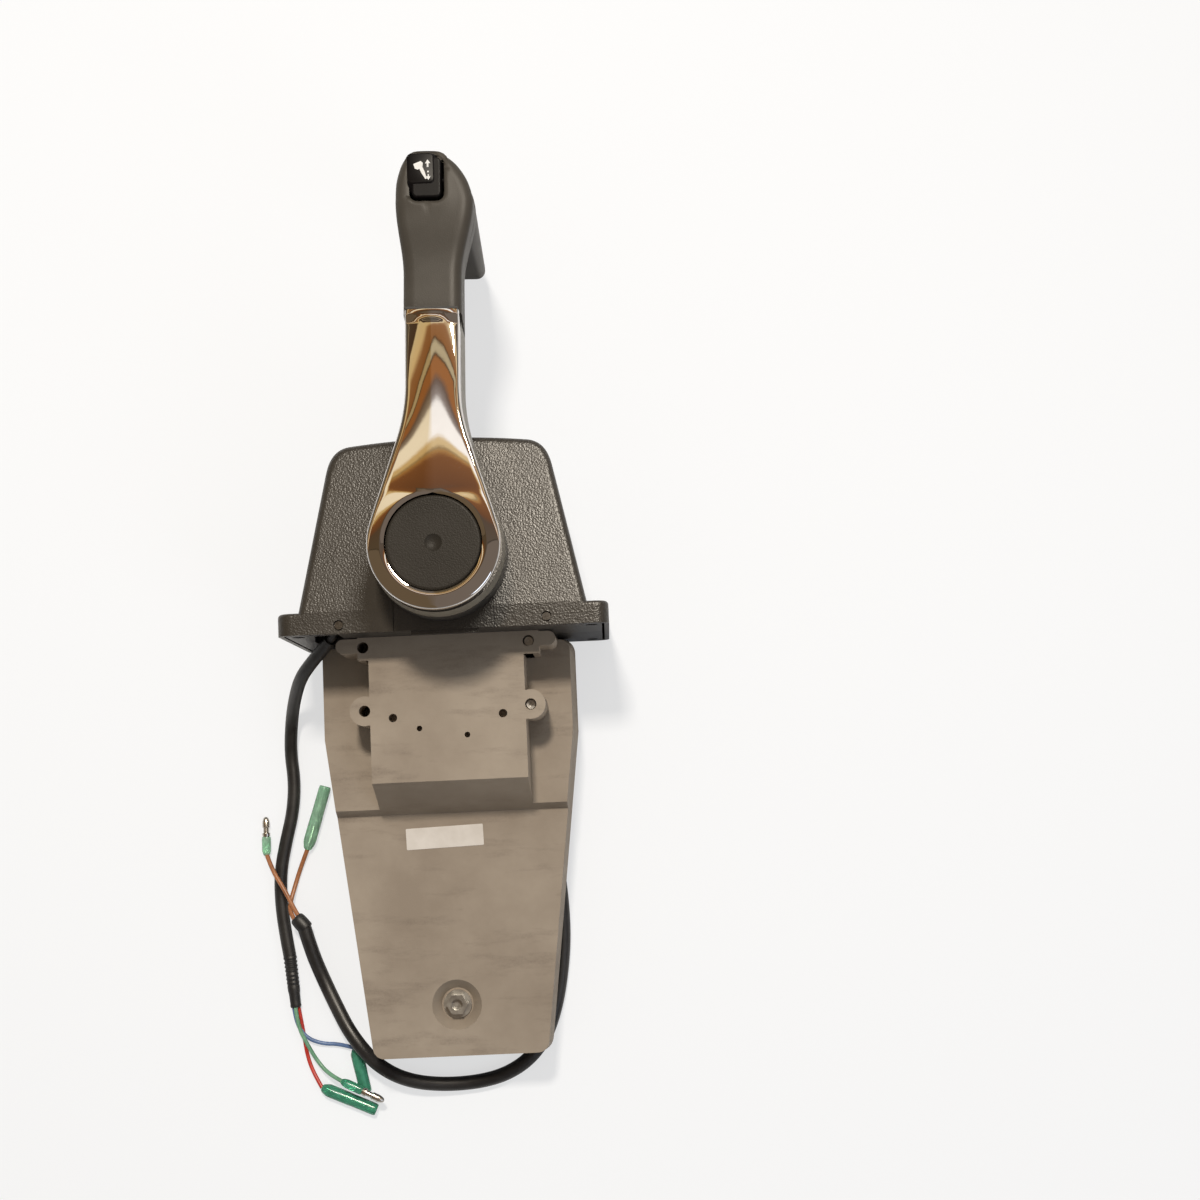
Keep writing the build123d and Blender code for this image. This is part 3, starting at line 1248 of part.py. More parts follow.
lead_tube("wire_green", [(-98.5, -198.2, -50.9), (-97.4, -208.0, -49.7), (-92.6, -218.0, -49.5),
                         (-87.4, -228.0, -51.6), (-80.6, -235.6, -49.6), (-72.2, -239.4, -45.5)],
          signal_wire, [trim_boot, connector_green])
lead_tube("trim_lead_inner", [
    (hub_x - 20.2, hub_y, 64.0), (hub_x - 20.2, hub_y, 45.0), (-27.0, 34.0, 35.0), (-39.0, 28.0, 33.0),
    (-53.0, 17.0, 27.0), (-59.8, 6.6, 16.0), (-64.6, 1.1, 10.0)], trim_inner_diameter, [trim_lead])

# the neutral switch's lead, out of its gland, and its two wires
neutral_lead = lead_tube("neutral_lead", [
    (gland_x, -bulge_step_y - gland_length, gland_z), (gland_x, -89.0, gland_z), (47.2, -104.0, -49.0),
    (50.2, -122.0, -52.1), (52.6, -144.0, -52.1), (52.9, -166.0, -52.1), (50.6, -186.0, -52.1),
    (46.6, -205.0, -52.1), (39.6, -222.4, -52.1), (27.6, -235.0, -52.1), (10.6, -242.4, -52.1),
    (-14.0, -244.4, -51.6), (-36.6, -240.6, -46.0), (-53.4, -230.6, -42.5), (-66.9, -213.6, -42.5),
    (-76.1, -196.5, -48.0), (-83.5, -180.4, -49.8), (-88.1, -166.7, -46.0), (-91.7, -153.2, -45.0)],
    neutral_lead_diameter)
neutral_boot = lead_end("neutral_boot", (-91.7, -153.2, -45.0), (-95.8, -148.6, -45.5),
                        ((0.5, neutral_lead_diameter / 2, 4.0), (0.5, 4.0, 3.4)), [neutral_lead])
connector_male = lead_end("connector_brown_male", (-112.9, -112.6, -52.9), (-112.8, -91.9, -52.9),
                          bullet_sections)
connector_female = lead_end("connector_brown_female", (-89.8, -111.2, -52.4), (-78.6, -76.2, -52.4),
                            socket_sections)
lead_tube("wire_brown_male", [(-94.7, -147.6, -45.5), (-97.2, -143.2, -45.4), (-101.2, -134.4, -45.4),
                              (-109.6, -121.0, -48.6), (-112.9, -112.6, -52.9)],
          brown_wire, [neutral_boot, connector_male])
lead_tube("wire_brown_female", [(-96.9, -149.6, -45.5), (-99.6, -145.6, -47.6), (-99.8, -140.0, -50.4),
                                (-97.4, -131.0, -54.0), (-94.3, -121.4, -54.6), (-89.8, -111.2, -52.4)],
          brown_wire, [neutral_boot, connector_female])

with BuildPart() as lead_gland:
    with BuildSketch(Plane.XZ.offset(bulge_step_y - far_wall)):
        with Locations((gland_x, gland_z)):
            Circle(gland_radius)
            Circle(inner_lead, mode=Mode.SUBTRACT)
    extrude(amount=far_wall)
    with BuildSketch(Plane.XZ.offset(bulge_step_y)):
        with Locations((gland_x, gland_z)):
            Circle(gland_flange)
            Circle(inner_lead, mode=Mode.SUBTRACT)
    extrude(amount=gland_length)
write(lead_gland, "lead_gland")
lead_tube("neutral_lead_inner", [
    (switch_pillar[0], switch_pillar[1] - switch_side / 2, switch_z),
    (switch_pillar[0], switch_pillar[1] - 14.0, switch_z),
    (36.6, 11.5, -23.0), (40.5, 1.5, -38.0), (45.0, -17.0, -43.0), (47.6, -40.0, -44.8),
    (gland_x, -58.0, gland_z), (gland_x, -bulge_step_y - gland_length, gland_z)], 2 * inner_lead)

# the trim switch's lead inside the lever, down to the hub
switch_lead_route = []
for u, v, z in ((3.0, rocker_v - switch_length / 2, switch_back_z + 3.0), (4.0, 174.0, switch_back_z + 2.5),
                (lead_u, 168.5, lead_z + 0.3), (lead_u, 152.0, lead_z), (lead_u, lead_start_v + 2.5, lead_z),
                (lead_u, lead_start_v + 2.5, 70.0)):
    switch_lead_route.append(tuple(lever_plane(z).from_local_coords((u, v, 0))))
lead_tube("switch_lead", switch_lead_route, switch_lead_diameter, [trim_switch_body.part])
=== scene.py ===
"""Looks of a single-lever boat control: cover, cast cable case, chrome-faced lever and loose leads."""

from math import cos, pi, radians, sin, sqrt, tan

import bmesh
import bpy
from mathutils import Matrix, Vector


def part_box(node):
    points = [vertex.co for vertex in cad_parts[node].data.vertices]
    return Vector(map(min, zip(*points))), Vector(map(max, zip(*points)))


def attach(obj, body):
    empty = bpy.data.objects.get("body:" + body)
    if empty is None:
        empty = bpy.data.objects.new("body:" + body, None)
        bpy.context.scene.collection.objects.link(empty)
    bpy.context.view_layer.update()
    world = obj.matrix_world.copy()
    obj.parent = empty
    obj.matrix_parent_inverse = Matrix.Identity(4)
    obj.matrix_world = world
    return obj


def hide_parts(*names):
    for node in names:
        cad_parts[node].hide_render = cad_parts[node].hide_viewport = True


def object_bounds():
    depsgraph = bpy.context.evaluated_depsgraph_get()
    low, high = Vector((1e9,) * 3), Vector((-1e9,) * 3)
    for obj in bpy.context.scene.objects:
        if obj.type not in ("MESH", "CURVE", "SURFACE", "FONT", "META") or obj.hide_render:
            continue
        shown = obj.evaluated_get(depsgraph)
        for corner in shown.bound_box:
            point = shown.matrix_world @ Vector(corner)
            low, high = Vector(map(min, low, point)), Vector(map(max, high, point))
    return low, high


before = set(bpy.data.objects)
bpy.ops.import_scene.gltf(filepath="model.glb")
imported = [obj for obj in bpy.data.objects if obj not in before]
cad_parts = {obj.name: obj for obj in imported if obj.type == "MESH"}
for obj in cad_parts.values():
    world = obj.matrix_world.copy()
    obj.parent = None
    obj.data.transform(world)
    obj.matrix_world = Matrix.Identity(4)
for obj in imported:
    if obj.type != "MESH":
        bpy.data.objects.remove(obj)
cad_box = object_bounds()
scene = bpy.context.scene
MM = 0.001


# ---------------------------------------------------------------- camera
# Straight down on the unit, which lies on its far side on a bench, from about a metre above the hub.
# The camera's own axes are written out, because it is turned a little about all three.
camera_place = Vector((81.36, -90.87, 1021.39)) * MM
camera_right = Vector((0.99902, -0.04390, -0.00474))
camera_up = Vector((0.04415, 0.99347, 0.10523))
camera_back = camera_right.cross(camera_up)
camera_data = bpy.data.cameras.new("camera")
camera_data.lens = 56.7
camera_data.sensor_width = 36.0
camera_data.clip_end = 20.0
camera = bpy.data.objects.new("camera", camera_data)
scene.collection.objects.link(camera)
turn = Matrix((camera_right, camera_up, camera_back)).transposed().to_4x4()
camera.matrix_world = Matrix.Translation(camera_place) @ turn
scene.camera = camera


# ---------------------------------------------------------------- leads and their wires
# Two black jacketed leads leave the unit: the trim lead through the base plate and the neutral switch's lead
# through its gland. Each is a round rubber jacket with thin insulated wires out of its end.
def finish(name, dark, light, roughness, patch=40.0, grain=1800.0, depth=0.02, metallic=0.0, spread=0.08):
    """Material of two close tones in soft patches, with an even fine grain. Patch and grain are per metre."""
    material = bpy.data.materials.new(name)
    material.use_nodes = True
    nodes = material.node_tree.nodes
    links = material.node_tree.links
    shader = nodes["Principled BSDF"]
    place = nodes.new("ShaderNodeTexCoord")
    tones = nodes.new("ShaderNodeTexNoise")
    tones.inputs["Scale"].default_value = patch
    tones.inputs["Detail"].default_value = 5.0
    tones.inputs["Roughness"].default_value = 0.6
    links.new(place.outputs["Object"], tones.inputs["Vector"])
    ramp = nodes.new("ShaderNodeValToRGB")
    ramp.color_ramp.elements[0].position = 0.35
    ramp.color_ramp.elements[0].color = (*dark, 1.0)
    ramp.color_ramp.elements[1].position = 0.68
    ramp.color_ramp.elements[1].color = (*light, 1.0)
    links.new(tones.outputs["Fac"], ramp.inputs["Fac"])
    links.new(ramp.outputs["Color"], shader.inputs["Base Color"])
    grains = nodes.new("ShaderNodeTexNoise")
    grains.inputs["Scale"].default_value = grain
    grains.inputs["Detail"].default_value = 3.0
    links.new(place.outputs["Object"], grains.inputs["Vector"])
    bump = nodes.new("ShaderNodeBump")
    bump.inputs["Strength"].default_value = 1.0
    bump.inputs["Distance"].default_value = depth * MM
    links.new(grains.outputs["Fac"], bump.inputs["Height"])
    links.new(bump.outputs["Normal"], shader.inputs["Normal"])
    gloss = nodes.new("ShaderNodeMapRange")
    gloss.inputs["To Min"].default_value = roughness - spread
    gloss.inputs["To Max"].default_value = roughness + spread
    links.new(tones.outputs["Fac"], gloss.inputs["Value"])
    links.new(gloss.outputs["Result"], shader.inputs["Roughness"])
    shader.inputs["Metallic"].default_value = metallic
    return material


def lead(name, node, points, diameter, material):
    """Round cord along a smooth line through the route's corners, in place of its tube."""
    curve = bpy.data.curves.new(name, "CURVE")
    curve.dimensions = "3D"
    spline = curve.splines.new("NURBS")
    spline.points.add(len(points) - 1)
    for control, point in zip(spline.points, points):
        control.co = (*(Vector(point) * MM), 1.0)
    spline.order_u = 3
    spline.use_endpoint_u = True
    spline.resolution_u = 12
    curve.bevel_depth = diameter / 2 * MM
    curve.bevel_resolution = 6
    curve.use_fill_caps = True
    curve.materials.append(material)
    cord = bpy.data.objects.new(name, curve)
    scene.collection.objects.link(cord)
    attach(cord, "housing")
    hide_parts(node)
    return cord


def made(name, rings, material, body, closed=True, sharp=35.0):
    """Piece from rings of points, each as long as the next, bridged in order and closed at both ends."""
    mesh = bpy.data.meshes.new(name)
    build = bmesh.new()
    rows = [[build.verts.new(Vector(point) * MM) for point in ring] for ring in rings]
    for row, after in zip(rows, rows[1:]):
        for place in range(len(row)):
            beyond = (place + 1) % len(row)
            build.faces.new((row[place], row[beyond], after[beyond], after[place]))
    if closed:
        build.faces.new(list(reversed(rows[0])))
        build.faces.new(rows[-1])
    bmesh.ops.recalc_face_normals(build, faces=build.faces)
    build.to_mesh(mesh)
    build.free()
    mesh.shade_smooth()
    mesh.set_sharp_from_angle(angle=radians(sharp))
    mesh.materials.append(material)
    piece = bpy.data.objects.new(name, mesh)
    scene.collection.objects.link(piece)
    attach(piece, body)
    return piece


def turned(start, end, profile, count=32):
    """Rings about the line from start to end. The profile holds pairs: share of the length, radius."""
    start = Vector(start)
    axis = Vector(end) - start
    across = axis.cross(Vector((0.3, 0.1, 1.0))).normalized()
    upward = across.cross(axis).normalized()
    rings = []
    for share, radius in profile:
        middle = start + axis * share
        ring = []
        for step in range(count):
            angle = step * 2 * pi / count
            ring.append(middle + (across * cos(angle) + upward * sin(angle)) * radius)
        rings.append(ring)
    return rings


trim_diameter = 7.2
neutral_diameter = 7.8
signal_diameter = 2.2
brown_diameter = 2.5
jacket = finish("lead jacket", (0.012, 0.011, 0.011), (0.028, 0.026, 0.024), 0.42, 60.0, 900.0, 0.05)
wire_red_skin = finish("red insulation", (0.42, 0.02, 0.012), (0.62, 0.045, 0.025), 0.4, 160.0, 2500.0, 0.01)
wire_blue_skin = finish("blue insulation", (0.09, 0.15, 0.3), (0.14, 0.22, 0.4), 0.4, 160.0, 2500.0, 0.01)
wire_green_skin = finish("green insulation", (0.12, 0.28, 0.16), (0.2, 0.42, 0.25), 0.4, 160.0, 2500.0, 0.01)
wire_brown_skin = finish("brown insulation", (0.3, 0.11, 0.04), (0.45, 0.18, 0.07), 0.4, 160.0, 2500.0, 0.01)

trim_lead = lead("trim_lead_cord", "trim_lead", [
    (-64.6, 1.1, 10.0), (-69.4, -3.4, 5.0), (-76.2, -9.2, -1.5), (-84.4, -16.8, -12.0), (-90.8, -26.4, -30.0),
    (-95.6, -38.0, -46.0), (-97.8, -55.9, -52.2), (-95.9, -72.9, -52.4), (-97.3, -89.8, -52.4),
    (-101.7, -106.4, -52.4), (-105.3, -123.6, -52.4), (-105.2, -141.4, -52.4), (-103.1, -158.7, -52.4),
    (-101.2, -169.9, -52.4)], trim_diameter, jacket)
wire_red = lead("wire_red_cord", "wire_red", [
    (-97.2, -198.2, -53.15), (-96.2, -205.0, -54.0), (-94.9, -213.5, -54.9), (-93.6, -224.0, -54.9),
    (-90.5, -234.0, -54.4), (-85.2, -242.9, -52.4)], signal_diameter, wire_red_skin)
wire_blue = lead("wire_blue_cord", "wire_blue", [
    (-99.8, -198.2, -53.15), (-98.9, -206.5, -52.4), (-93.2, -215.3, -52.1), (-84.2, -219.2, -53.8),
    (-74.9, -219.6, -54.5), (-65.9, -222.2, -52.4)], signal_diameter, wire_blue_skin)
wire_green = lead("wire_green_cord", "wire_green", [
    (-98.5, -198.2, -50.9), (-97.4, -208.0, -49.7), (-92.6, -218.0, -49.5), (-87.4, -228.0, -51.6),
    (-80.6, -235.6, -49.6), (-72.2, -239.4, -45.5)], signal_diameter, wire_green_skin)
neutral_lead = lead("neutral_lead_cord", "neutral_lead", [
    (45.5, -79.0, -45.2), (45.5, -89.0, -45.2), (47.2, -104.0, -49.0), (50.2, -122.0, -52.1),
    (52.6, -144.0, -52.1), (52.9, -166.0, -52.1), (50.6, -186.0, -52.1), (46.6, -205.0, -52.1),
    (39.6, -222.4, -52.1), (27.6, -235.0, -52.1), (10.6, -242.4, -52.1), (-14.0, -244.4, -51.6),
    (-36.6, -240.6, -46.0), (-53.4, -230.6, -42.5), (-66.9, -213.6, -42.5), (-76.1, -196.5, -48.0),
    (-83.5, -180.4, -49.8), (-88.1, -166.7, -46.0), (-91.7, -153.2, -45.0)],
    neutral_diameter, jacket)
wire_male = lead("wire_brown_male_cord", "wire_brown_male", [
    (-94.7, -147.6, -45.5), (-97.2, -143.2, -45.4), (-101.2, -134.4, -45.4), (-109.6, -121.0, -48.6),
    (-112.9, -112.6, -52.9)], brown_diameter, wire_brown_skin)
wire_female = lead("wire_brown_female_cord", "wire_brown_female", [
    (-96.9, -149.6, -45.5), (-99.6, -145.6, -47.6), (-99.8, -140.0, -50.4), (-97.4, -131.0, -54.0),
    (-94.3, -121.4, -54.6), (-89.8, -111.2, -52.4)], brown_diameter, wire_brown_skin)


# ---------------------------------------------------------------- ends of the leads
# The trim lead's end is bound in a ribbed rubber boot. The neutral lead's jacket is rolled back over itself.
# Both are soft black rubber, pushed over the jacket so that the wires come out of a small mouth.
boot_rubber = finish("boot rubber", (0.01, 0.01, 0.011), (0.024, 0.022, 0.021), 0.5, 90.0, 1600.0, 0.03)
boot_start = (-101.2, -169.9, -52.4)
boot_end = (-98.5, -198.2, -52.4)
rib_count = 7
rib_first = 0.05
rib_pitch = 0.08
rib_radius = 3.75
rib_taper = 0.04
groove_radius = 3.3
boot_profile = [(0.0, 3.45), (0.02, 3.75)]
for rib in range(rib_count):
    low = rib_first + rib * rib_pitch
    outer = rib_radius - rib * rib_taper
    boot_profile += [(low, outer), (low + 0.015, groove_radius), (low + 0.045, groove_radius),
                     (low + 0.06, outer - 0.05)]
boot_profile += [(0.68, 3.35), (0.74, 3.05), (0.93, 2.95), (0.97, 3.1), (1.0, 2.85), (1.0, 0.8)]
trim_boot = made("trim_boot_ribbed", turned(boot_start, boot_end, boot_profile), boot_rubber, "housing")
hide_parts("trim_boot")

rolled_profile = [(-0.35, 3.95), (-0.25, 4.15), (0.0, 4.25), (0.35, 4.3), (0.7, 4.2), (0.95, 3.9),
                  (1.05, 3.4), (1.0, 2.6), (0.8, 1.2)]
neutral_boot = made("neutral_boot_rolled",
                    turned((-91.7, -153.2, -45.0), (-95.8, -148.6, -45.5), rolled_profile),
                    boot_rubber, "housing")
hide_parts("neutral_boot")


# ---------------------------------------------------------------- bullet and socket connectors
# Crimped bullet terminals of tinned brass. The sockets lie in clear green sleeves over the metal.
# The bullets' crimps have a short green sleeve of their own over the wire.
def sleeve_plastic(name, colour):
    """Soft clear plastic, tinted, with faint haze."""
    material = finish(name, colour, tuple(min(1.0, 1.5 * tone) for tone in colour), 0.22, 220.0, 900.0, 0.01)
    shader = material.node_tree.nodes["Principled BSDF"]
    shader.inputs["Transmission Weight"].default_value = 0.55
    shader.inputs["IOR"].default_value = 1.45
    return material


tinned = finish("tinned brass", (0.55, 0.53, 0.49), (0.75, 0.72, 0.66), 0.28, 300.0, 4000.0, 0.01, 1.0)
sleeve_green = sleeve_plastic("green sleeve", (0.08, 0.36, 0.22))
sleeve_clear = sleeve_plastic("pale green sleeve", (0.35, 0.6, 0.42))
socket_inside = [(0.06, 1.0), (0.08, 1.7), (0.3, 1.7), (0.32, 1.3), (0.42, 1.3), (0.45, 2.1), (0.93, 2.1),
                 (0.95, 1.9), (0.95, 0.2)]
socket_outside = [(0.0, 1.6), (0.02, 2.3), (0.1, 3.3), (0.14, 3.55), (0.5, 3.5), (0.55, 3.4), (0.94, 3.4),
                  (0.98, 3.3), (1.0, 3.0), (0.99, 2.5), (0.8, 2.4)]
bullet_sleeve = [(-0.05, 1.35), (0.0, 2.0), (0.08, 2.45), (0.4, 2.55), (0.46, 2.3), (0.45, 1.5)]
bullet_inside = [(0.3, 1.0), (0.42, 1.55), (0.5, 2.2), (0.56, 2.25), (0.57, 1.6), (0.7, 1.55), (0.72, 2.05),
                 (0.88, 2.05), (0.96, 1.5), (1.0, 0.7), (1.0, 0.1)]
for colour, start, end, parts in (
        ("red", (-85.2, -242.9, -52.4), (-55.3, -256.3, -52.4), (socket_inside, socket_outside)),
        ("blue", (-65.9, -222.2, -52.4), (-60.9, -246.3, -52.4), (socket_inside, socket_outside)),
        ("green", (-72.2, -239.4, -45.5), (-50.2, -250.6, -45.5), (bullet_inside, bullet_sleeve)),
        ("brown_male", (-112.9, -112.6, -52.9), (-112.8, -91.9, -52.9), (bullet_inside, bullet_sleeve)),
        ("brown_female", (-89.8, -111.2, -52.4), (-78.6, -76.2, -52.4), (socket_inside, socket_outside))):
    tint = sleeve_clear if "brown" in colour else sleeve_green
    metal = made(f"terminal_{colour}", turned(start, end, parts[0]), tinned, "housing")
    sleeve = made(f"sleeve_{colour}", turned(start, end, parts[1]), tint, "housing")
    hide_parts(f"connector_{colour}")


# ---------------------------------------------------------------- cover, flange and hub panel
# Injection-moulded black plastic with a leather grain. The panel that closes the shaft's slot, the collar and
# both base halves are of the same stock; four small screws hold the cover to its base.
def paint(material, *names):
    """Gives CAD nodes their material."""
    for name in names:
        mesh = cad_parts[name].data
        mesh.materials.clear()
        mesh.materials.append(material)


def leather_grain(material, cell, depth):
    """Swaps a finish's fine noise for raised cells like those of leather. Cell is in millimetres."""
    nodes = material.node_tree.nodes
    links = material.node_tree.links
    place = next(node for node in nodes if node.bl_idname == "ShaderNodeTexCoord")
    bump = next(node for node in nodes if node.bl_idname == "ShaderNodeBump")
    cells = nodes.new("ShaderNodeTexVoronoi")
    cells.feature = "SMOOTH_F1"
    cells.inputs["Scale"].default_value = 1000.0 / cell
    cells.inputs["Smoothness"].default_value = 0.6
    cells.inputs["Randomness"].default_value = 1.0
    links.new(place.outputs["Object"], cells.inputs["Vector"])
    lower = nodes.new("ShaderNodeMath")
    lower.operation = "SUBTRACT"
    lower.inputs[0].default_value = 1.0
    links.new(cells.outputs["Distance"], lower.inputs[1])
    links.new(lower.outputs["Value"], bump.inputs["Height"])
    bump.inputs["Distance"].default_value = depth * MM


def dull(material, level):
    """Lowers a finish's mirrored light, which is the same all over it."""
    material.node_tree.nodes["Principled BSDF"].inputs["Specular IOR Level"].default_value = level


cover_plastic = finish("grained cover plastic", (0.034, 0.028, 0.021), (0.047, 0.039, 0.03), 0.38, 30.0)
leather_grain(cover_plastic, 0.95, 0.15)
smooth_plastic = finish("smooth black plastic", (0.02, 0.018, 0.016), (0.03, 0.027, 0.024), 0.38, 50.0,
                        2600.0, 0.01)
zinc = finish("zinc plate", (0.42, 0.41, 0.39), (0.62, 0.61, 0.58), 0.34, 200.0, 3000.0, 0.01, 1.0)
screw_steel = finish("screw steel", (0.14, 0.13, 0.12), (0.24, 0.23, 0.21), 0.25, 200.0, 3000.0, 0.01, 1.0)
blackened = finish("blackened steel", (0.02, 0.02, 0.02), (0.05, 0.05, 0.048), 0.4, 200.0, 3000.0, 0.01, 0.8)
paint(cover_plastic, "cover_shell", "hub_panel")
paint(smooth_plastic, "hub_collar", "base_near_half", "base_far_half")
paint(screw_steel, "cover_screws")


# ---------------------------------------------------------------- cast case and its steel back
# Pressure die casting with one coat of matt warm grey paint, rubbed darker by hands and tools. The back is
# pressed steel in the same paint, with a thin rubber gasket between the two.
def cast_paint(name, dark, light):
    """Matt paint on a casting: cloudy tones, dark rubs in streaks, and a pebbled surface."""
    material = finish(name, dark, light, 0.62, 16.0, 1500.0, 0.05, 0.0, 0.06)
    nodes = material.node_tree.nodes
    links = material.node_tree.links
    place = next(node for node in nodes if node.bl_idname == "ShaderNodeTexCoord")
    ramp = next(node for node in nodes if node.bl_idname == "ShaderNodeValToRGB")
    shader = nodes["Principled BSDF"]
    lean = nodes.new("ShaderNodeMapping")
    lean.inputs["Rotation"].default_value = (0.0, 0.0, radians(35.0))
    lean.inputs["Scale"].default_value = (1.0, 4.5, 1.0)
    links.new(place.outputs["Object"], lean.inputs["Vector"])
    rubs = nodes.new("ShaderNodeTexNoise")
    rubs.inputs["Scale"].default_value = 22.0
    rubs.inputs["Detail"].default_value = 7.0
    rubs.inputs["Roughness"].default_value = 0.65
    links.new(lean.outputs["Vector"], rubs.inputs["Vector"])
    band = nodes.new("ShaderNodeMapRange")
    band.inputs["From Min"].default_value = 0.52
    band.inputs["From Max"].default_value = 0.72
    links.new(rubs.outputs["Fac"], band.inputs["Value"])
    speck = nodes.new("ShaderNodeTexNoise")
    speck.inputs["Scale"].default_value = 900.0
    links.new(place.outputs["Object"], speck.inputs["Vector"])
    worn = nodes.new("ShaderNodeMix")
    worn.data_type = "RGBA"
    worn.inputs["B"].default_value = (dark[0] * 0.62, dark[1] * 0.6, dark[2] * 0.6, 1.0)
    links.new(ramp.outputs["Color"], worn.inputs["A"])
    amount = nodes.new("ShaderNodeMath")
    amount.operation = "MULTIPLY"
    links.new(band.outputs["Result"], amount.inputs[0])
    links.new(speck.outputs["Fac"], amount.inputs[1])
    links.new(amount.outputs["Value"], worn.inputs["Factor"])
    links.new(worn.outputs["Result"], shader.inputs["Base Color"])
    return material


case_paint = cast_paint("case paint", (0.27, 0.215, 0.16), (0.36, 0.295, 0.225))
dull(case_paint, 0.25)
back_paint = cast_paint("back paint", (0.2, 0.165, 0.125), (0.27, 0.225, 0.175))
gasket_rubber = finish("gasket rubber", (0.01, 0.01, 0.01), (0.022, 0.021, 0.02), 0.6, 90.0, 1500.0, 0.02)
label_film = finish("label film", (0.62, 0.56, 0.49), (0.7, 0.64, 0.57), 0.35, 90.0, 1500.0, 0.005)
paint(case_paint, "near_case")
paint(back_paint, "far_case")
paint(gasket_rubber, "case_gasket", "lead_gland")
paint(zinc, "case_screws", "base_screws", "pad_screws", "clamp_bolt", "flange_nut")
paint(label_film, "label_plate")
paint(smooth_plastic, "cable_clamp")


# ---------------------------------------------------------------- gear train, detent and neutral switch
# Cast aluminium sectors and pinion on steel shafts, bronze bushes, and a small sealed switch in the case.
# They are out of sight, and are finished as they come from the lathe or the mould.
cast_alloy = finish("cast alloy", (0.42, 0.41, 0.38), (0.55, 0.53, 0.49), 0.45, 120.0, 1500.0, 0.03, 1.0)
ground_steel = finish("ground steel", (0.45, 0.44, 0.42), (0.6, 0.59, 0.57), 0.25, 150.0, 3500.0, 0.006, 1.0)
spring_steel = finish("spring steel", (0.3, 0.29, 0.28), (0.45, 0.44, 0.42), 0.3, 300.0, 3000.0, 0.006, 1.0)
bronze = finish("bush bronze", (0.42, 0.27, 0.1), (0.58, 0.39, 0.16), 0.35, 200.0, 2500.0, 0.02, 1.0)
paint(cast_alloy, "shift_lever", "throttle_lever", "drive_gear")
paint(ground_steel, "main_shaft", "pivot_pin", "detent_plate", "detent_plunger", "detent_plug",
      "friction_screw", "switch_plunger")
paint(spring_steel, "shaft_circlip", "detent_spring", "button_spring")
paint(bronze, "shaft_bushes")
paint(smooth_plastic, "switch_body", "trim_switch_body")
paint(zinc, "switch_screws", "grip_screws")
paint(jacket, "trim_lead_inner", "neutral_lead_inner", "switch_lead")


# ---------------------------------------------------------------- lever arm and its chrome face
# The arm is a dark painted die casting. A chromed cover clips over its front: round about the button,
# waisted, bowed across the neck, and rolled up in a lip where it meets the grip.
hub = Vector((0.7, 38.5, 0.0))
lean = radians(1.6)
ring_radius = 34.2
flank = radians(18.0)
neck_half = 14.6
neck_blend = 90.0
chrome_end = 117.0
joint_slope = radians(17.0)
chrome_low = 91.0
chrome_high = 104.0
hole_radius = 24.2
across = Vector((cos(lean), -sin(lean), 0.0))
along = Vector((sin(lean), cos(lean), 0.0))


def on_lever(u, v, z):
    """Point of the lever's own frame: u across it, v along it from the hub."""
    return hub + across * u + along * v + Vector((0.0, 0.0, z))


def half_width(v):
    """Half width of the teardrop outline at the height v."""
    tangent = Vector((ring_radius * cos(flank), ring_radius * sin(flank)))
    corner = tangent.y + (tangent.x - neck_half) / tan(flank)
    reach = neck_blend * tan(flank / 2)
    if v >= corner + reach:
        return neck_half
    if v >= corner - reach * cos(flank):
        return neck_half + neck_blend - sqrt(neck_blend ** 2 - (v - corner - reach) ** 2)
    if v >= tangent.y:
        return tangent.x - (v - tangent.y) * tan(flank)
    return sqrt(max(0.0, ring_radius ** 2 - v ** 2))


# points of one side of the outline, from the ring's foot to the neck's end, each with one on the inner line
turn_v = 26.0
side_pairs = []
arc_steps = 44
for step in range(arc_steps):
    angle = -pi / 2 + (pi / 2 + flank) * step / arc_steps
    outer = (ring_radius * cos(angle), ring_radius * sin(angle))
    side_pairs.append((outer, (hole_radius * cos(angle), hole_radius * sin(angle))))
neck_steps = 60
first_v = ring_radius * sin(flank)
for step in range(neck_steps + 1):
    v = first_v + (chrome_end - first_v) * step / neck_steps
    if v < turn_v:
        angle = flank + (pi / 2 - flank) * (v - first_v) / (turn_v - first_v)
        inner = (hole_radius * cos(angle), hole_radius * sin(angle))
    else:
        inner = (0.0, hole_radius + (chrome_end - hole_radius) * (v - turn_v) / (chrome_end - turn_v))
    side_pairs.append(((half_width(v), v), inner))

chrome_loops = ((0.95, chrome_low, 0.0), (0.97, 98.0, 0.0), (1.02, 100.8, 1.0), (1.12, 101.9, 1.0),
                (1.34, 102.7, 1.0), (1.7, 103.2, 1.0), (2.2, 103.45, 1.0))
chrome_shares = (0.06, 0.14, 0.24, 0.36, 0.5, 0.66, 0.83, 1.0)
crown_top = 103.9
crown_foot = 0.35
crown_start = 30.0
crown_gain = 0.0002
hole_drop = 0.35
loops_edge = 103.6
lip_start = 111.6
lip_height = 0.5
lip_flattening = 0.75
flattening_rate = 3.0
lip_rate = 1.4
shear_start = 80.0
shear_run = 37.0


def crown_drop(v):
    """How much lower the face's edge lies than its middle line: more and more towards the grip."""
    climb = max(0.0, min(v, lip_start) - crown_start)
    return crown_foot + crown_gain * climb ** 2


mesh = bpy.data.meshes.new("chrome_face")
build = bmesh.new()


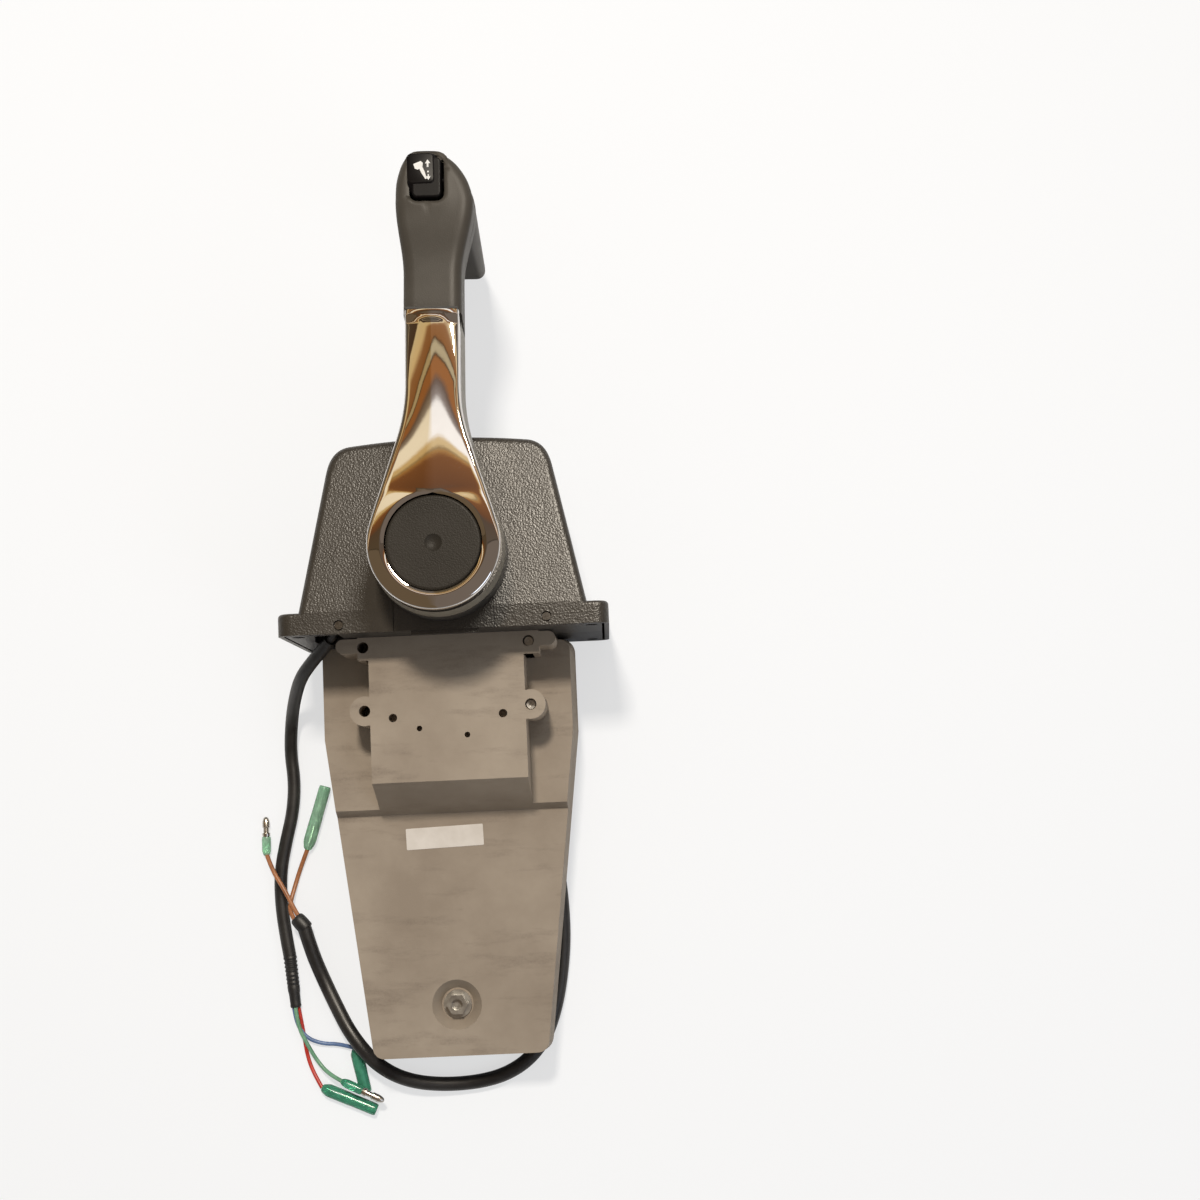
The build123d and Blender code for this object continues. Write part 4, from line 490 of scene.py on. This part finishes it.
def chrome_side(side):
    """Grid of one half: each outline point gives a column from the wall's foot to the inner line."""
    columns = []
    for outer, inner in side_pairs:
        outer = Vector((side * outer[0], outer[1]))
        inner = Vector((side * inner[0], inner[1]))
        width = (inner - outer).length
        drop = crown_drop(outer.y)
        past = (outer.y - lip_start) / (chrome_end - lip_start)
        lip = 0.0
        if past > 0:
            drop *= 1 - lip_flattening * min(1.0, flattening_rate * past)
            lip = -lip_height * sin(pi * min(1.0, lip_rate * past))
        edge = crown_top - drop
        column = []
        for inset, z, follows in chrome_loops:
            spot = outer + (inner - outer) * (inset / width)
            column.append((spot, z + follows * (edge - loops_edge)))
        low = chrome_loops[-1][0] / width
        for share in chrome_shares:
            spot = outer + (inner - outer) * (low + (1 - low) * share)
            column.append((spot, edge + (drop + lip) * (1 - (1 - share) ** 2)))
        if outer.y < turn_v:
            column[-1] = (column[-1][0], column[-1][1] - hole_drop)
        column.append((inner, chrome_low))
        points = []
        for spot, z in column:
            shear = min(1.0, max(0.0, (spot.y - shear_start) / shear_run))
            back = (z - chrome_high) * tan(joint_slope) * shear
            points.append(build.verts.new(on_lever(spot.x, spot.y + back, z) * MM))
        columns.append(points)
    return columns


for side in (-1, 1):
    columns = chrome_side(side)
    for column, after in zip(columns, columns[1:]):
        for row in range(len(column)):
            beyond = (row + 1) % len(column)
            corners = (column[row], after[row], after[beyond], column[beyond])
            build.faces.new(corners if side > 0 else tuple(reversed(corners)))
    last = columns[-1]
    build.faces.new(last if side < 0 else list(reversed(last)))
bmesh.ops.remove_doubles(build, verts=build.verts, dist=1e-6)
middle_faces = [face for face in build.faces
                if all(abs((vertex.co - hub * MM).dot(across)) < 1e-7 for vertex in face.verts)]
bmesh.ops.delete(build, geom=middle_faces, context="FACES_ONLY")
loose_edges = [edge for edge in build.edges if not edge.link_faces]
bmesh.ops.delete(build, geom=loose_edges, context="EDGES")
bmesh.ops.recalc_face_normals(build, faces=build.faces)
build.to_mesh(mesh)
build.free()
mesh.shade_smooth()
mesh.set_sharp_from_angle(angle=radians(50.0))
# The chrome's base colour is a little warm: a painted warmth standing in for the warm light it mirrors.
chrome_plate = finish("chrome plate", (0.7, 0.67, 0.64), (0.76, 0.73, 0.7), 0.02, 25.0, 400.0, 0.0008, 1.0,
                      0.008)
mesh.materials.append(chrome_plate)
chrome = bpy.data.objects.new("chrome_face", mesh)
scene.collection.objects.link(chrome)
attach(chrome, "lever")
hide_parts("lever_chrome")
lever_paint = finish("lever paint", (0.16, 0.14, 0.105), (0.22, 0.195, 0.15), 0.4, 40.0, 1500.0, 0.015)
paint(lever_paint, "lever_arm")
paint(gasket_rubber, "lever_gasket")
paint(blackened, "lever_clamp_screw")


# ---------------------------------------------------------------- grip, button and trim rocker
# Two warm grey plastic shells with a fine texture; the near one's front is soft-edged, with a rim round the
# switch. Button and rocker are near-black. The rocker has a raised face, a small outboard and two arrows.
grip_plastic = finish("grip plastic", (0.05, 0.043, 0.034), (0.066, 0.057, 0.046), 0.42, 20.0)
leather_grain(grip_plastic, 0.45, 0.03)
dull(grip_plastic, 0.14)
button_plastic = finish("button plastic", (0.022, 0.018, 0.013), (0.03, 0.025, 0.019), 0.5, 40.0)
leather_grain(button_plastic, 0.7, 0.09)
dull(button_plastic, 0.16)
rocker_plastic = finish("rocker plastic", (0.004, 0.003, 0.003), (0.006, 0.005, 0.005), 0.4, 60.0, 2200.0,
                        0.012)
dull(rocker_plastic, 0.12)
mark_paint = finish("mark paint", (0.6, 0.58, 0.55), (0.72, 0.7, 0.66), 0.5, 200.0, 2500.0, 0.004)
paint(grip_plastic, "grip_far_shell")
paint(button_plastic, "free_throttle_button")
paint(rocker_plastic, "trim_rocker")


def rounded(left, right, low, high, radius, z, steps=6):
    """Ring of points round a rectangle with round corners, in the row frame."""
    ring = []
    corners = ((right - radius, high - radius, 0), (left + radius, high - radius, 90),
               (left + radius, low + radius, 180), (right - radius, low + radius, 270))
    for middle_x, middle_y, first in corners:
        for step in range(steps + 1):
            angle = radians(first + 90 * step / steps)
            ring.append((middle_x + radius * cos(angle), middle_y + radius * sin(angle), z))
    return ring


grip_low = 118.05
grip_foot = 84.0
foot_height = 6.0
grip_top = 100.5
grip_edge_width = 5.6
grip_edge_fall = 4.6
grip_wall = 2.4
edge_insets = (0.0, 0.15, 0.5, 1.1, 1.9, 2.9, 4.1)
face_steps = 10
narrow_face = 8.0
joint_reach = 22.0
dip_end = 168.0
dip_depth = 1.5
rim_rise = 0.9
rim_width = 9.0
rim_fall = 1.3
rim_edge = 2.0
opening_depth = 3.5
arm_steps = 8
flare_steps = 14
dome_steps = 7
dome_lead = 12.0
head_dome = ((20.8, 174.0), (17.2, 186.0), (9.5, 195.5), (-2.0, 200.0), (-12.5, 196.8), (-17.4, 186.0),
             (-18.4, 174.0))
flare_start = 136.0
rocker_middle = Vector((-2.3, 185.0))
opening_half = Vector((8.8, 11.8))
opening_corner = 4.0


def grip_outline():
    """Outline of the arm and head, from the joint up the right side, over the dome and down the left."""
    sides = []
    for end_u, end_v in (head_dome[0], head_dome[-1]):
        half = neck_half if end_u > 0 else -neck_half
        side = [(half, grip_low + (flare_start - grip_low) * step / arm_steps) for step in range(arm_steps)]
        for step in range(flare_steps):
            share = step / flare_steps
            side.append((half + (end_u - half) * share * share * (3 - 2 * share),
                         flare_start + (end_v - flare_start) * share))
        sides.append(side)
    before = (head_dome[0][0], head_dome[0][1] - dome_lead)
    after = (head_dome[-1][0], head_dome[-1][1] - dome_lead)
    knots = [Vector(point) for point in (before, *head_dome, after)]
    dome = []
    for place in range(1, len(knots) - 2):
        pull_in = (knots[place + 1] - knots[place - 1]) / 2
        pull_out = (knots[place + 2] - knots[place]) / 2
        for step in range(dome_steps):
            share = step / dome_steps
            rest = 1 - share
            dome.append(knots[place] * (1 + 2 * share) * rest ** 2 + pull_in * share * rest ** 2
                        + knots[place + 1] * share ** 2 * (3 - 2 * share) - pull_out * share ** 2 * rest)
    dome.append(knots[-2])
    return [Vector(point) for point in sides[0]] + dome + [Vector(point) for point in reversed(sides[1])]


def grip_height(spot, inset):
    """Height of the grip's front: rounded edges, a shallow dip down the arm, a soft rim at the switch."""
    beyond = Vector((max(0.0, abs(spot.x - rocker_middle.x) - opening_half.x + opening_corner),
                     max(0.0, abs(spot.y - rocker_middle.y) - opening_half.y + opening_corner)))
    rim = beyond.length - opening_corner
    height = grip_top + rim_rise * min(1.0, max(0.0, 1 - rim / rim_width)) ** 1.5
    if rim < rim_edge:
        height -= rim_fall * (1 - max(0.0, rim) / rim_edge) ** 2
    if spot.y < dip_end:
        share = (spot.y - grip_low) / (dip_end - grip_low)
        height -= dip_depth * sin(pi * max(0.0, share)) ** 2
    if inset < grip_edge_width:
        height -= grip_edge_fall * (1 - sqrt(1 - (1 - inset / grip_edge_width) ** 2))
    return height


def opening_point(share):
    """Point on the switch opening's edge, from its bottom middle round by the right and the top."""
    straight = opening_half - Vector((opening_corner, opening_corner))
    corner = (opening_corner, 1)
    upright = (2 * straight.y, 0)
    legs = ((straight.x, 0), corner, upright, corner, (2 * straight.x, 0), corner, upright, corner,
            (straight.x, 0))
    total = sum(length * (pi / 2 if bend else 1) for length, bend in legs)
    left = share * total
    spot = Vector((0.0, -opening_half.y))
    heading = 0.0
    for length, bend in legs:
        run = length * (pi / 2 if bend else 1)
        now = min(left, run)
        if bend:
            ahead = heading + now / opening_corner
            spot += opening_corner * Vector((sin(ahead) - sin(heading), cos(heading) - cos(ahead)))
            heading = ahead
        else:
            spot += now * Vector((cos(heading), sin(heading)))
        left -= now
        if left <= 0:
            break
    return rocker_middle + spot


mesh = bpy.data.meshes.new("grip_front")
build = bmesh.new()
outline = grip_outline()
reach_start = 132.0
reach_end = 160.0
opening_foot = rocker_middle.y - opening_half.y
first = next(place for place, spot in enumerate(outline) if spot.y >= reach_end)
last = len(outline) - 1 - next(place for place, spot in enumerate(reversed(outline)) if spot.y >= reach_end)
columns = []
column_length = 2 + len(edge_insets) + face_steps + 1
for place, outer in enumerate(outline):
    if first <= place <= last:
        inner = opening_point((place - first) / (last - first))
    else:
        reach = min(1.0, max(0.0, (outer.y - reach_start) / (outline[first].y - reach_start)))
        inner_v = outer.y + reach * (opening_foot - outline[first].y)
        towards = max(0.0, (inner_v - reach_start) / (opening_foot - reach_start))
        inner = Vector((rocker_middle.x * towards, inner_v))
    width = (inner - outer).length
    spots = [(outer, grip_foot), (outer, grip_foot + foot_height)]
    if width > narrow_face:
        face_insets = [grip_edge_width + (width - grip_edge_width) * step / face_steps
                       for step in range(face_steps + 1)]
    else:
        face_insets = [width]
    for inset in (*edge_insets, *face_insets):
        spot = outer + (inner - outer) * min(1.0, inset / width)
        spots.append((spot, grip_height(spot, inset)))
    while len(spots) < column_length:
        spots.append(spots[-1])
    column = []
    for spot, z in spots:
        shear = max(0.0, 1 - (spot.y - grip_low) / joint_reach)
        back = (z - chrome_high) * tan(joint_slope) * shear
        column.append(build.verts.new(on_lever(spot.x, spot.y + back, z) * MM))
    if first <= place <= last:
        column.append(build.verts.new(on_lever(inner.x, inner.y, grip_top - opening_depth) * MM))
    columns.append(column)
for column, after in zip(columns, columns[1:]):
    for row in range(min(len(column), len(after)) - 1):
        build.faces.new((column[row], after[row], after[row + 1], column[row + 1]))
bmesh.ops.remove_doubles(build, verts=build.verts, dist=1e-6)
bmesh.ops.recalc_face_normals(build, faces=build.faces)
highest = max(build.faces, key=lambda face: face.calc_center_median().z)
if highest.normal.z < 0:
    bmesh.ops.reverse_faces(build, faces=build.faces)
build.to_mesh(mesh)
build.free()
grip_front = bpy.data.objects.new("grip_front", mesh)
scene.collection.objects.link(grip_front)
shell = grip_front.modifiers.new("wall", "SOLIDIFY")
shell.thickness = grip_wall * MM
shell.offset = -1.0
bpy.context.view_layer.update()
shaped = bpy.data.meshes.new_from_object(grip_front.evaluated_get(bpy.context.evaluated_depsgraph_get()))
grip_front.modifiers.clear()
grip_front.data = shaped
shaped.shade_smooth()
shaped.set_sharp_from_angle(angle=radians(48.0))
shaped.materials.clear()
shaped.materials.append(grip_plastic)
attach(grip_front, "lever")
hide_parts("grip_near_shell")

rocker_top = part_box("trim_rocker")[1].z / MM
face_height = 0.5
face_rings = [rounded(-6.2, 9.6, 216.6, 236.2, 2.6, rocker_top - 3.2),
              rounded(-6.0, 8.0, 219.6, 236.0, 2.4, rocker_top - 0.4),
              rounded(-5.8, 7.4, 220.4, 235.7, 2.1, rocker_top + face_height - 0.2),
              rounded(-5.4, 6.9, 220.9, 235.3, 1.9, rocker_top + face_height)]
face = made("rocker_face", face_rings, rocker_plastic, "trim_rocker")
mark_height = 0.08
marks = {
    "outboard": ((-2.6, 230.2), (1.2, 231.6), (2.2, 230.6), (1.9, 228.6), (3.0, 226.0), (3.9, 222.4),
                 (3.2, 222.2), (1.3, 225.4), (0.4, 227.6), (-0.6, 227.2), (-1.9, 227.8)),
    "arrow_up": ((4.1, 228.4), (5.0, 228.4), (5.0, 230.3), (6.0, 230.3), (4.6, 232.3), (3.2, 230.3),
                 (4.1, 230.3)),
    "arrow_down": ((4.4, 224.6), (5.0, 224.6), (5.0, 223.6), (5.9, 223.6), (4.7, 221.6), (3.5, 223.6),
                   (4.4, 223.6)),
    "dash": ((4.3, 226.4), (5.0, 226.4), (5.0, 225.6), (4.3, 225.6)),
}
for name, corners in marks.items():
    rings = [[(x, y, rocker_top + face_height + lift) for x, y in corners] for lift in (-0.02, mark_height)]
    made(f"mark_{name}", rings, mark_paint, "trim_rocker")


# ---------------------------------------------------------------- floor, backdrop and light
# A white bench and soft light from above the lever's end, so that the hub throws its shadow on the pad.
# A banded ceiling out of view is seen by mirrored light alone, and one more lamp gives the plastics a sheen.
floor_level = cad_box[0].z
bpy.ops.mesh.primitive_plane_add(size=6.0, location=(0.0, 0.0, floor_level - 0.0002))
floor = bpy.context.object
floor.name = "floor"
floor_paint = bpy.data.materials.new("bench white")
floor_paint.use_nodes = True
nodes = floor_paint.node_tree.nodes
links = floor_paint.node_tree.links
shader = nodes["Principled BSDF"]
shader.inputs["Base Color"].default_value = (0.86, 0.86, 0.86, 1.0)
shader.inputs["Roughness"].default_value = 0.9
shader.inputs["Specular IOR Level"].default_value = 0.1
rays = nodes.new("ShaderNodeLightPath")
lift = nodes.new("ShaderNodeMath")
lift.operation = "MULTIPLY"
lift.inputs[1].default_value = 0.62
links.new(rays.outputs["Is Camera Ray"], lift.inputs[0])
white = nodes.new("ShaderNodeEmission")
mixed = nodes.new("ShaderNodeMixShader")
links.new(lift.outputs["Value"], mixed.inputs["Fac"])
links.new(shader.outputs["BSDF"], mixed.inputs[1])
links.new(white.outputs["Emission"], mixed.inputs[2])
links.new(mixed.outputs["Shader"], nodes["Material Output"].inputs["Surface"])
floor.data.materials.append(floor_paint)

world = bpy.data.worlds.new("studio")
scene.world = world
world.use_nodes = True
nodes = world.node_tree.nodes
links = world.node_tree.links
background = nodes["Background"]
rays = nodes.new("ShaderNodeLightPath")
level = nodes.new("ShaderNodeMapRange")
level.inputs["To Min"].default_value = 0.32
level.inputs["To Max"].default_value = 1.0
links.new(rays.outputs["Is Camera Ray"], level.inputs["Value"])
links.new(level.outputs["Result"], background.inputs["Strength"])
background.inputs["Color"].default_value = (1.0, 0.99, 0.98, 1.0)


def soft_light(name, place, aim, length, width, power, colour):
    """Oblong soft light that looks at a point."""
    lamp = bpy.data.lights.new(name, "AREA")
    lamp.shape = "RECTANGLE"
    lamp.size = length
    lamp.size_y = width
    lamp.energy = power
    lamp.color = colour
    holder = bpy.data.objects.new(name, lamp)
    scene.collection.objects.link(holder)
    direction = Vector(aim) - Vector(place)
    holder.matrix_world = Matrix.Translation(place) @ direction.to_track_quat("-Z", "Y").to_matrix().to_4x4()
    return holder


key = soft_light("key", (-0.05, 0.62, 1.55), (0.0, 0.0, 0.0), 0.16, 0.16, 22.0, (1.0, 0.95, 0.88))
key.visible_glossy = False
sheen = soft_light("sheen", (0.45, 0.85, 1.6), (0.07, 0.05, 0.0), 0.45, 0.45, 45.0, (1.0, 0.91, 0.78))
sheen.visible_diffuse = False
soft_light("fill", (0.9, -0.7, 1.0), (0.0, -0.1, 0.0), 0.6, 0.6, 2.5, (0.72, 0.82, 1.0))

# the ceiling: brown boards, pale beams and a bright strip
ceiling_height = 1.7
ceiling_bands = ((0.0, (0.2, 0.16, 0.13)), (0.25, (0.2, 0.16, 0.13)), (0.254, (0.05, 0.04, 0.03)),
                 (0.258, (0.13, 0.1, 0.075)), (0.325, (0.13, 0.09, 0.065)), (0.345, (0.2, 0.09, 0.045)),
                 (0.386, (0.28, 0.12, 0.05)), (0.389, (0.8, 0.43, 0.15)), (0.393, (0.14, 0.08, 0.03)),
                 (0.397, (0.87, 0.65, 0.35)), (0.408, (0.87, 0.65, 0.35)), (0.412, (1.3, 1.25, 1.2)),
                 (0.452, (1.3, 1.25, 1.2)), (0.462, (0.4, 0.34, 0.31)), (0.48, (0.2, 0.14, 0.11)),
                 (0.492, (0.43, 0.18, 0.065)), (0.512, (0.43, 0.18, 0.065)), (0.516, (0.04, 0.03, 0.02)),
                 (0.52, (0.61, 0.5, 0.31)), (0.534, (0.61, 0.5, 0.31)), (0.538, (0.05, 0.03, 0.02)),
                 (0.543, (0.36, 0.16, 0.06)), (0.575, (0.4, 0.2, 0.09)), (0.6, (0.9, 0.7, 0.42)),
                 (0.66, (0.9, 0.75, 0.5)), (0.67, (0.1, 0.06, 0.04)), (0.8, (0.12, 0.09, 0.07)),
                 (0.81, (0.5, 0.42, 0.34)), (0.84, (0.5, 0.42, 0.34)), (0.85, (0.1, 0.08, 0.06)),
                 (1.0, (0.16, 0.14, 0.12)))
bpy.ops.mesh.primitive_plane_add(size=9.0, location=(0.0, 0.3, ceiling_height))
ceiling = bpy.context.object
ceiling.name = "ceiling"
ceiling.visible_camera = False
ceiling.visible_diffuse = False
ceiling.visible_shadow = False
ceiling.visible_transmission = False
boards = bpy.data.materials.new("ceiling boards")
boards.use_nodes = True
nodes = boards.node_tree.nodes
links = boards.node_tree.links
nodes.clear()
place = nodes.new("ShaderNodeTexCoord")
parts = nodes.new("ShaderNodeSeparateXYZ")
links.new(place.outputs["Object"], parts.inputs["Vector"])
wave = nodes.new("ShaderNodeTexNoise")
wave.inputs["Scale"].default_value = 2.2
wave.inputs["Detail"].default_value = 1.0
links.new(place.outputs["Object"], wave.inputs["Vector"])
bend = nodes.new("ShaderNodeMath")
bend.operation = "MULTIPLY_ADD"
bend.inputs[1].default_value = 0.05
bend.inputs[2].default_value = 0.275
links.new(wave.outputs["Fac"], bend.inputs[0])
slant = nodes.new("ShaderNodeMath")
slant.operation = "MULTIPLY_ADD"
slant.inputs[1].default_value = -0.03
links.new(parts.outputs["X"], slant.inputs[0])
links.new(bend.outputs["Value"], slant.inputs[2])
along_y = nodes.new("ShaderNodeMath")
along_y.operation = "ADD"
links.new(parts.outputs["Y"], along_y.inputs[0])
links.new(slant.outputs["Value"], along_y.inputs[1])
bands = nodes.new("ShaderNodeValToRGB")
for position, colour in ceiling_bands[1:-1]:
    stop = bands.color_ramp.elements.new(position)
    stop.color = (*colour, 1.0)
bands.color_ramp.elements[0].color = (*ceiling_bands[0][1], 1.0)
bands.color_ramp.elements[-1].color = (*ceiling_bands[-1][1], 1.0)
links.new(along_y.outputs["Value"], bands.inputs["Fac"])
glow = nodes.new("ShaderNodeEmission")
half = nodes.new("ShaderNodeMapRange")
half.inputs["From Min"].default_value = -0.17
half.inputs["From Max"].default_value = -0.13
links.new(parts.outputs["X"], half.inputs["Value"])
tint = nodes.new("ShaderNodeMix")
tint.data_type = "RGBA"
tint.inputs["A"].default_value = (0.8, 0.7, 0.5, 1.0)
tint.inputs["B"].default_value = (1.0, 1.0, 1.0, 1.0)
links.new(half.outputs["Result"], tint.inputs["Factor"])
tinted = nodes.new("ShaderNodeMix")
tinted.data_type = "RGBA"
tinted.blend_type = "MULTIPLY"
tinted.inputs["Factor"].default_value = 1.0
links.new(bands.outputs["Color"], tinted.inputs["A"])
links.new(tint.outputs["Result"], tinted.inputs["B"])
links.new(tinted.outputs["Result"], glow.inputs["Color"])
surface = nodes.new("ShaderNodeOutputMaterial")
links.new(glow.outputs["Emission"], surface.inputs["Surface"])
ceiling.data.materials.append(boards)

view = scene.view_settings
view.view_transform = "Standard"
